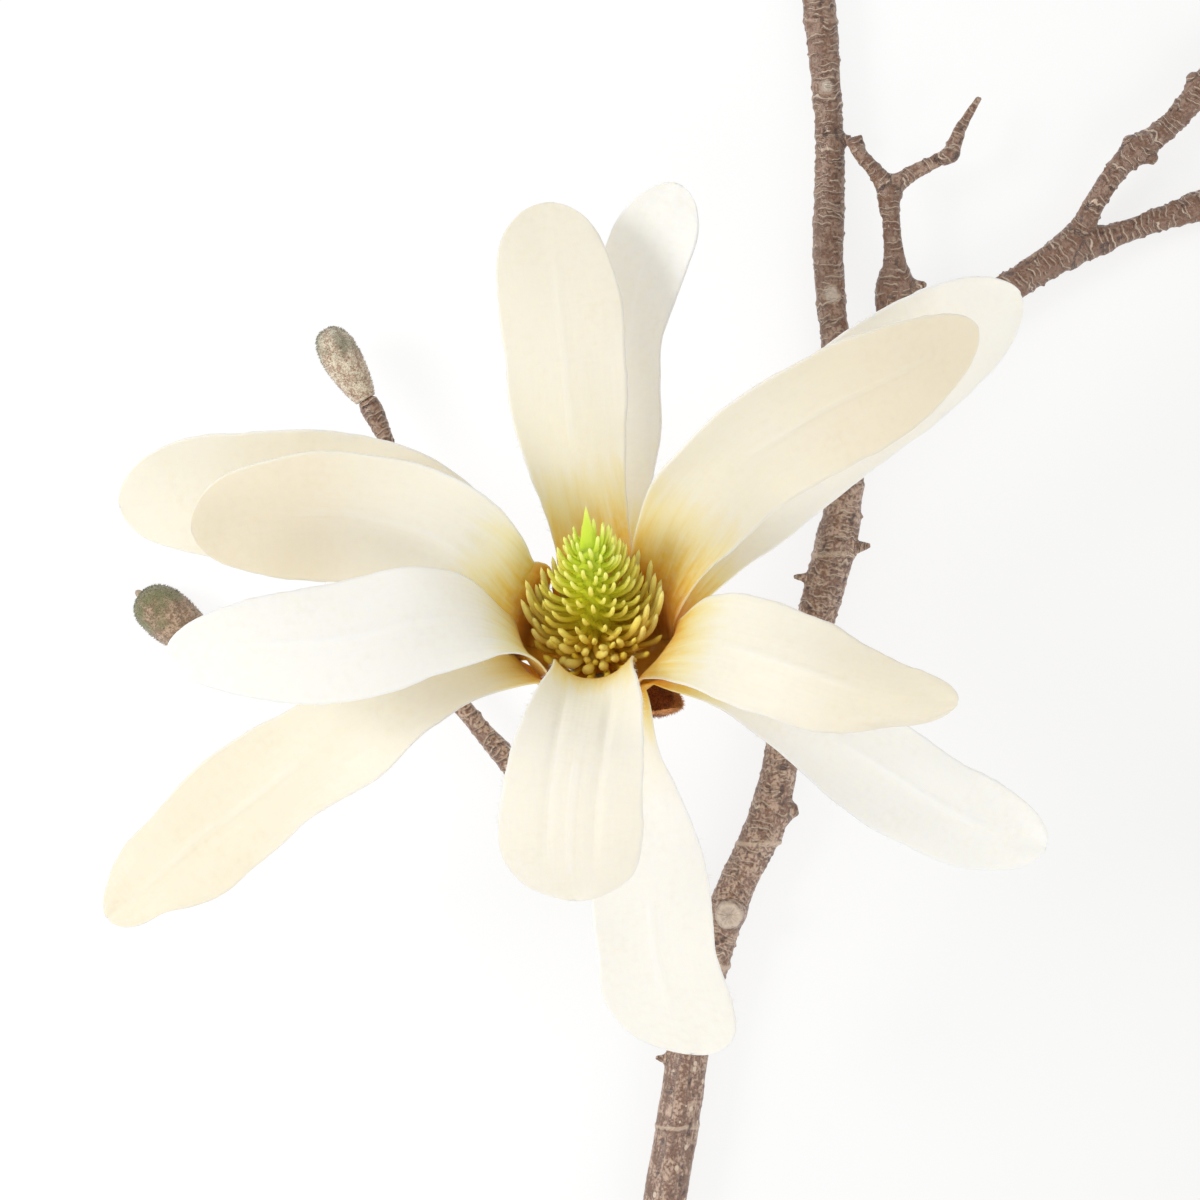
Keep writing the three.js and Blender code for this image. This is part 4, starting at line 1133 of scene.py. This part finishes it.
# Scars, thorns and stubs: foot, direction, foot radius, end radius, length.
OUTGROWTHS = {
    "round_scar": ((16.5, -39, 3.5), (-0.12, -0.1, 1), 1.9, 1.7, 3.4),
    "knuckle": ((22, -26.8, 3.7), (1, 0.2, 0.1), 1.6, 0.7, 2.9),
    "thorn_right": ((30.2, 6.4, 3.5), (1, 0.12, 0.3), 1.1, 0.35, 3.8),
    "thorn_left": ((27.6, 2.6, 3.5), (-1, 0.1, 0.4), 0.8, 0.3, 3.6),
    "spur_foot": ((28.8, 57.4, 2.8), (1, 0.1, 0.3), 1, 0.55, 2.8),
    "spur_thorn": ((36.8, 39, 5.4), (1, 0.1, 0.15), 1.3, 0.35, 4),
    "twig_stub_left": ((66.6, 55.8, 3.8), (-0.3, 1, 0.4), 1, 0.55, 2.4),
    "twig_stub_right": ((67.4, 56.4, 3.8), (1, -0.7, 0.3), 1, 0.6, 2.7),
    "low_thorn": ((9.8, -57.6, 3.2), (-1, 0.1, 0.4), 0.8, 0.3, 3),
    "elbow_stub": ((43.4, 55.8, 6.4), (0.9, -0.5, 0.1), 0.8, 0.45, 1.3),
    "far_stub": ((75.2, 64, 3.2), (-0.6, 0.8, 0.3), 1, 0.6, 2.4),
}
DARK_LIMBS = {
    "right": 1.0, "right_upper": 0.9, "right_lower": 1.0, "spur": 1.0,
    "spur_left": 0.7, "spur_right": 0.5, "spur_foot": 0.7, "spur_thorn": 1.0,
    "upper_bud_twig": 0.6, "lower_bud_twig": 0.5, "twig_stub_left": 0.9,
    "twig_stub_right": 0.9, "far_stub": 0.9,
}
WARTY_LIMBS = {"right": 1.6, "right_upper": 1.7, "right_lower": 1.5}
# Leaf scars on the upper side of the main stem: height along Y, half length.
OVAL_SCARS = [(64.3, 0.9), (38.2, 1.1), (-8.0, 0.8)]
# Raised rings where the bark joins up: limb, Y of the ring.
NODE_RINGS = [("main", 5.6), ("main", 72.5), ("main", 58.0), ("main", -30.5),
              ("main", -46.0), ("main", -66.0), ("spur", 50.4), ("spur", 41.2)]
BARK_VOXEL = 0.28


class Limb:
    """One limb's centre line: places, radii and axes that don't twist."""

    def __init__(self, name, stations):
        self.name = name
        self.route = Route(stations)
        self.length = self.route.length
        count = max(8, int(self.length / 0.4))
        share = np.linspace(0, 1, count)
        self.far = share * self.length
        rows = self.route.at(share)
        self.centres, self.radii = rows[:, :3], rows[:, 3]
        self.along = self.route.heading(share)
        sides = [UP]
        for heading in self.along:
            side = sides[-1] - heading * np.dot(sides[-1], heading)
            sides.append(unit(side))
        self.side = np.array(sides[1:])
        self.slope = np.gradient(self.radii, self.far)

    def measure(self, points):
        """Distance outside the limb, the way out, and the place on the limb."""
        gaps = (
            np.sum(points**2, 1)[:, None] - 2 * points @ self.centres.T
            + np.sum(self.centres**2, 1)[None, :]
        )
        i = np.argmin(gaps, axis=1)
        off = points - self.centres[i]
        along = self.along[i]
        ahead = dot(off, along)[:, 0]
        radial = off - along * ahead[:, None]
        far_out = np.linalg.norm(radial, axis=1)
        place = self.far[i] + ahead
        radius = self.radii[i] + self.slope[i] * ahead
        past = np.maximum(-place, place - self.length)
        wall = far_out - radius
        out = radial / np.maximum(far_out, 1e-6)[:, None]
        end = np.where(place > self.length / 2, 1, -1)[:, None] * along
        capped = past > wall
        distance = np.where(capped, past, wall)
        way = np.where(capped[:, None], end, out)
        side = self.side[i]
        other = np.cross(along, side)
        x = dot(radial, side)[:, 0]
        y = dot(radial, other)[:, 0]
        return distance, way, np.stack([x, y, place], -1), radius


def build_branch():
    limbs = [Limb(name, stations) for name, stations in LIMBS.items()]
    for name, (foot, way, foot_radius, end_radius, length) in OUTGROWTHS.items():
        end = np.array(foot) + unit(way) * length
        half = (np.array(foot) + end) / 2
        middle = 0.55 * foot_radius + 0.45 * end_radius
        limbs.append(Limb(name, [(*foot, foot_radius), (*half, middle), (*end, end_radius)]))
    source = merged_copy("branch")
    rough = bpy.data.meshes.new("branch_rough")
    source.to_mesh(rough)
    source.free()
    helper = bpy.data.objects.new("branch_rough", rough)
    bpy.context.scene.collection.objects.link(helper)
    remesh = helper.modifiers.new("even", "REMESH")
    remesh.mode = "VOXEL"
    remesh.voxel_size = BARK_VOXEL * MM
    graph = bpy.context.evaluated_depsgraph_get()
    mesh = bpy.data.meshes.new_from_object(helper.evaluated_get(graph))
    bpy.data.objects.remove(helper)
    count = len(mesh.vertices)
    flat = np.zeros(count * 3)
    mesh.vertices.foreach_get("co", flat)
    points = flat.reshape(-1, 3) / MM + MIDDLE

    def measure_all(points):
        found = [limb.measure(points) for limb in limbs]
        return [np.stack(part, 1) for part in zip(*found)]

    blend_width = 0.3
    for _ in range(3):
        distance, way, place, radius = measure_all(points)
        nearest = distance.min(1, keepdims=True)
        share = np.exp(-(distance - nearest) / blend_width)
        total = share.sum(1, keepdims=True)
        share /= total
        level = nearest[:, 0] - blend_width * np.log(total[:, 0])
        slope = np.sum(way * share[..., None], axis=1)
        steep = np.maximum(np.sum(slope**2, 1), 0.3)
        points = points - slope * (np.clip(level, -0.6, 0.6) / steep)[:, None]
    distance, way, place, radius = measure_all(points)
    own = np.argmin(distance, 1)
    rows = np.arange(count)
    spot = place[rows, own]
    girth = np.maximum(radius[rows, own], 0.4)
    share = np.exp(-(distance - distance.min(1, keepdims=True)) / blend_width)
    settled = smooth(0.55, 0.95, share[rows, own] / share.sum(1))
    out = unit(np.sum(way * share[..., None], axis=1))
    angle = np.arctan2(spot[:, 1], spot[:, 0])
    ring = np.stack([np.cos(angle), np.sin(angle)], -1) * girth[:, None]
    far = spot[:, 2] + 41.0 * own
    skin = np.concatenate([ring, far[:, None]], axis=1)
    names = np.array([limb.name for limb in limbs])[own]
    dark = np.array([DARK_LIMBS.get(name, 0.0) for name in names])
    dark = np.maximum(dark, 0.75 * (names == "main") * smooth(0, 50, points[:, 1]))
    warty = np.array([WARTY_LIMBS.get(name, 1.0) for name in names])
    body = settled * smooth(-0.2, 0.6, girth - 0.5)

    # Cross wrinkles: wavering rows of short raised arcs.
    drift = grain(skin / [3.0, 3.0, 5.0], 3)
    row = skin[:, 2] / 1.25 + 0.75 * drift
    level = np.floor(row)
    off = row - level - 0.5 - 0.22 * grain(np.stack([ring[:, 0] / 1.2, ring[:, 1] / 1.2,
                                                    level * 3.7], -1), 4)
    arc = grain(np.stack([ring[:, 0] / 2.3, ring[:, 1] / 2.3, level * 5.3], -1), 5)
    wrinkles = smooth(-0.05, 0.3, arc) * bump(off, 0.16)
    fine_row = skin[:, 2] / 0.62 + 0.9 * grain(skin / [1.4, 1.4, 2.6], 6)
    fine_level = np.floor(fine_row)
    fine_arc = grain(np.stack([ring[:, 0] / 1.3, ring[:, 1] / 1.3, fine_level * 4.1], -1), 7)
    fine = smooth(0.1, 0.4, fine_arc) * bump(fine_row - fine_level - 0.5, 0.24)
    lumps = grain(skin / 2.6, 8)
    warts = np.maximum(0, grain(skin / 0.85, 9) - 0.2) + np.maximum(
        0, grain(skin / 0.5, 10) - 0.35)
    pits = smooth(0.45, 0.8, grain(skin / [0.75, 0.75, 0.6], 11))
    calm = (names == "main") * (1 - smooth(-52, -44, points[:, 1]))
    rings = np.zeros(count)
    for name, height in NODE_RINGS:
        here = names == name
        waver = 0.35 * grain(ring_points(ring), 13)
        rings = np.maximum(rings, here * bump(points[:, 1] - height - waver, 0.3))
    scars = np.zeros(count)
    rims = np.zeros(count)
    for height, half in OVAL_SCARS:
        here = (names == "main") * (np.cos(angle) > 0)
        reach = np.hypot(ring[:, 1] / (0.85 * half), (points[:, 1] - height) / half)
        scars = np.maximum(scars, here * (1 - smooth(0.75, 1.05, reach)))
        rims = np.maximum(rims, here * bump(reach - 1.05, 0.22))
    stub = names == "round_scar"
    disc = np.hypot(spot[:, 0], spot[:, 1])
    face = stub * smooth(2.6, 3.1, spot[:, 2])
    scars = np.maximum(scars, face * 0.75)
    rims = np.maximum(rims, face * bump(disc - 1.35, 0.25))
    rims = np.maximum(rims, face * 0.7 * bump(disc - 0.55, 0.16))

    lively = 1 - 0.8 * calm
    ridge = np.clip(0.2 * wrinkles * lively + rings + rims, 0, 1)
    height = body * (
        0.1 * wrinkles * lively + 0.05 * fine * (1 + 0.5 * dark) + 0.09 * lumps
        + 0.24 * warts * warty * lively - 0.12 * pits - 0.06 * warty
    )
    height += 0.16 * rings + 0.12 * rims - 0.1 * scars * (1 - face)
    points = points + out * height[:, None]
    shown = metres(points)
    shown[:, 2] = np.maximum(shown[:, 2], 0)
    mesh.vertices.foreach_set("co", shown.ravel())
    values = {
        "ridge": ridge * (1 - 0.55 * dark),
        "pit": pits * (1 - scars),
        "scar": scars,
        "dark": dark,
        "calm": calm * (1 - scars),
    }
    for name, value in values.items():
        mesh.attributes.new(name, "FLOAT", "POINT").data.foreach_set("value", value)
    limb_place = mesh.attributes.new("limb_place", "FLOAT_VECTOR", "POINT")
    limb_place.data.foreach_set("vector", (skin * MM).ravel())
    mesh.update()
    add_piece("branch_bark", mesh, BARK, "bark", "branch")


def ring_points(ring):
    return np.concatenate([ring / 1.1, np.zeros((len(ring), 1))], axis=1)


build_branch()


# ---------- buds ----------
BUD_PROFILE = [
    (1.25, 0), (1.7, 1), (2.2, 2.6), (2.55, 4.4), (2.7, 6), (2.66, 7.4), (2.35, 8.6),
    (1.75, 9.5), (0.95, 10), (0.3, 10.15),
]

HAIR_GIRTH = 0.055


def flock_hair(bm, foot, way, axis, length, tags, rnd):
    """One short hair, a three-sided cone that leans a little."""
    side = unit(np.cross(way, axis + 0.31 * way[::-1]))
    other = np.cross(way, side)
    tilt = side * rnd.uniform(-0.6, 0.6) + other * rnd.uniform(-0.6, 0.6)
    tip = foot + unit(way + tilt + axis * 0.35) * length
    root = foot - way * 0.05
    reach = Vector(tip - root)
    made = bmesh.ops.create_cone(
        bm, cap_ends=True, segments=3, radius1=HAIR_GIRTH * MM, radius2=0,
        depth=reach.length * MM,
        matrix=Matrix.Translation(metres((root + tip) / 2))
        @ reach.to_track_quat("Z", "Y").to_matrix().to_4x4(),
    )
    for name, value in tags.items():
        layer = bm.verts.layers.float[name]
        for vert in made["verts"]:
            if vert.is_valid:
                vert[layer] = value


def build_bud(node, before, end, girth, length, flocking, seed, nub):
    rnd = random.Random(seed)
    before, end = np.array(before), np.array(end)
    axis = unit(end - before)
    foot = end - axis * 0.1
    side = unit(np.cross(axis, UP))
    other = np.cross(axis, side)
    stretched = 1 + 0.45 / (10.15 * length)
    outline = Route([(r * girth, h * length * stretched, 0) for r, h in BUD_PROFILE])
    top = outline.at(1.0)[1]
    bm = tagged("height", "lot")

    def skin(turn, share):
        r, h, _ = outline.at(share)
        angle = 2 * math.pi * turn
        ring = side * math.cos(angle) + other * math.sin(angle)
        lump = float(grain([math.cos(angle) * 1.6, math.sin(angle) * 1.6, h * 0.35], seed))
        ridge = 1 + 0.035 * lump
        if share > 0.999 or share < 0.001:
            r = 0.0
        return foot + axis * h + ring * r * ridge

    wrap(bm, 40, 44, lambda turn, share: metres(skin(turn, share)), {
        "height": lambda turn, share: outline.at(share)[1] / top, "lot": 0.0,
    })
    close_up(bm, 1e-7)
    for _ in range(2600):
        share = rnd.random() ** 0.9
        share = 0.02 + 0.96 * share
        turn = rnd.random()
        point = skin(turn, share)
        middle = foot + axis * (outline.at(share)[1] - 0.6 * (share - 0.45))
        way = unit(point - middle)
        tags = {"height": outline.at(share)[1] / top, "lot": rnd.random() ** 2}
        flock_hair(bm, point, way, axis, rnd.uniform(0.12, 0.3), tags, rnd)
    if nub:
        def place(turn, share):
            angle = 2 * math.pi * turn
            ring = side * math.cos(angle) + other * math.sin(angle)
            r = 0.55 * math.sqrt(max(0.0, 1 - share**2))
            return metres(foot + axis * (top - 0.35 + 1.1 * share) + ring * r)
        wrap(bm, 10, 6, place, {"height": 0.2, "lot": 0.6})
        bmesh.ops.remove_doubles(bm, verts=bm.verts, dist=1e-7)
    return add_piece(node + "_flock", bm, flocking, "bud", node)


build_bud("bud_upper", (-28.1, 23.2, 7.2), (-29.1, 24.9, 7.2), 0.91, 0.97,
          UPPER_FLOCK, 5, False)
build_bud("bud_lower", (-47.2, -7.5, 3.3), (-48.6, -6.4, 3.3), 1.18, 1.1,
          LOWER_FLOCK, 6, True)


# ---------- bud scale ----------
def build_scale():
    rnd = random.Random(9)
    radial = outwards(30)
    side = unit(np.cross(FLOWER_AXIS, radial))
    route = Route([
        on_axis(h) + radial * r for r, h in ((3.4, -5), (6, -6.1), (9, -5.8), (11.4, -4.2))
    ])

    def skin(turn, share):
        u = 0.99 * share
        along = route.heading(u)
        face = unit(np.cross(along, side))
        half = 3.4 * math.sqrt(max(0.0, 1 - u**2.6)) * float(smooth(-0.6, 0.5, u))
        bend = 1.3 * (1 - 2 * turn)
        ragged = 1 + 0.05 * float(grain([share * 9, turn * 9, 0.5], 2))
        return (
            route.at(u) + side * half * ragged * math.sin(bend)
            + face * half * (1 - math.cos(bend))
        )

    bm = tagged("height", "lot")
    made = bmesh.ops.create_grid(bm, x_segments=26, y_segments=30, size=1)
    height = bm.verts.layers.float["height"]
    spots = []
    for vert in made["verts"]:
        turn, share = (vert.co.x + 1) / 2, (vert.co.y + 1) / 2
        edge = max(abs(2 * turn - 1), share)
        vert[height] = float(smooth(0.7, 1.0, edge))
        spots.append((turn, share))
        vert.co = metres(skin(turn, share))
    bmesh.ops.solidify(bm, geom=bm.faces[:], thickness=0.4 * MM)
    close_up(bm, 1e-7)
    for _ in range(2600):
        turn, share = rnd.random(), rnd.uniform(0.05, 1)
        point = skin(turn, share)
        nudge = skin(min(turn + 0.02, 1), share) - skin(max(turn - 0.02, 0), share)
        climb = skin(turn, min(share + 0.02, 1)) - skin(turn, max(share - 0.02, 0))
        way = unit(np.cross(nudge, climb) + 1e-9) * rnd.choice((-1, 1))
        edge = max(abs(2 * turn - 1), share)
        tags = {"height": float(smooth(0.7, 1.0, edge)), "lot": rnd.random() ** 3 * 0.5}
        flock_hair(bm, point, way, unit(climb + 1e-9), rnd.uniform(0.25, 0.5), tags, rnd)
    add_piece("scale_felt", bm, SCALE_FLOCK, "scale", "bud_scale")


build_scale()


# ---------- receptacle ----------
def dress_receptacle():
    made, tree, shader = material("receptacle_moulded", Roughness=0.6,
                                  Specular_IOR_Level=0.35)
    place = put(tree, "ShaderNodeTexCoord").outputs["Object"]
    skin = use(tree, MOTTLE, {
        "Vector": place, "Base": (0.20, 0.22, 0.06, 1), "Other": (0.16, 0.09, 0.045, 1),
        "Broad per metre": 500.0, "Fine per metre": 2500.0, "Low": 0.4, "High": 0.7,
    })
    pimples = noise(tree, place, 2600.0, 2.0, 0.5)
    feed(tree, shader, Base_Color=skin["Colour"],
         Roughness=spread(tree, skin["Patches"], 0, 1, 0.5, 0.7),
         Normal=relief(tree, pimples, 0.5, 0.0001))
    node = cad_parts["receptacle"]
    node.data.materials.clear()
    node.data.materials.append(made)


dress_receptacle()


# ---------- floor, light, camera ----------
def build_floor():
    bm = bmesh.new()
    bmesh.ops.create_grid(bm, x_segments=8, y_segments=8, size=3)
    mesh = bpy.data.meshes.new("pale_floor")
    bm.to_mesh(mesh)
    bm.free()
    floor = bpy.data.objects.new("pale_floor", mesh)
    bpy.context.scene.collection.objects.link(floor)
    # The floor glows: painted light, its emission lights the things from below and washes out
    # their shadows.
    made, tree, shader = material("pale_floor", Roughness=0.9, Specular_IOR_Level=0.0,
                                  Emission_Strength=0.86)
    shader.inputs["Base Color"].default_value = (0.16, 0.16, 0.16, 1)
    place = put(tree, "ShaderNodeTexCoord").outputs["Object"]
    axes = put(tree, "ShaderNodeSeparateXYZ", {0: place}).outputs
    # Painted light falloff: the glow is white on the left and dims to pale grey towards the
    # right and the bottom.
    slope = maths(tree, "MULTIPLY_ADD", axes["Y"], -0.25, axes["X"])
    glow = put(tree, "ShaderNodeMapRange", {
        "Value": slope, "From Min": -0.04, "From Max": 0.10,
    }).outputs["Result"]
    feed(tree, shader, Emission_Color=blend(
        tree, glow, (1, 1, 1, 1), (0.875, 0.87, 0.86, 1)))
    mesh.materials.append(made)


def soft_light(name, place, size, power, colour):
    light = bpy.data.lights.new(name, "AREA")
    light.shape = "DISK"
    light.size = size
    light.energy = power
    light.color = colour
    made = bpy.data.objects.new(name, light)
    made.location = place
    aim = Vector((0, 0, 0.02)) - Vector(place)
    made.rotation_euler = aim.to_track_quat("-Z", "Y").to_euler()
    bpy.context.scene.collection.objects.link(made)


def light_and_camera():
    scene = bpy.context.scene
    world = bpy.data.worlds.new("studio")
    scene.world = world
    world.use_nodes = True
    background = world.node_tree.nodes["Background"]
    background.inputs["Color"].default_value = (0.97, 0.98, 1.0, 1)
    background.inputs["Strength"].default_value = 0.66
    soft_light("key_left", (-0.7, 0.1, 0.55), 0.35, 3.9, (1.0, 0.99, 0.98))
    soft_light("fill_front", (0.6, -0.6, 0.6), 0.6, 3.4, (1.0, 0.98, 0.96))
    scene.view_settings.view_transform = "Standard"
    camera = bpy.data.cameras.new("camera")
    camera.sensor_width = 36
    camera.lens = 150
    camera.clip_start = 0.01
    camera.clip_end = 20
    made = bpy.data.objects.new("camera", camera)
    made.location = (-MIDDLE[0] * MM, -MIDDLE[1] * MM, 0.63)
    scene.collection.objects.link(made)
    scene.camera = made


build_floor()
light_and_camera()
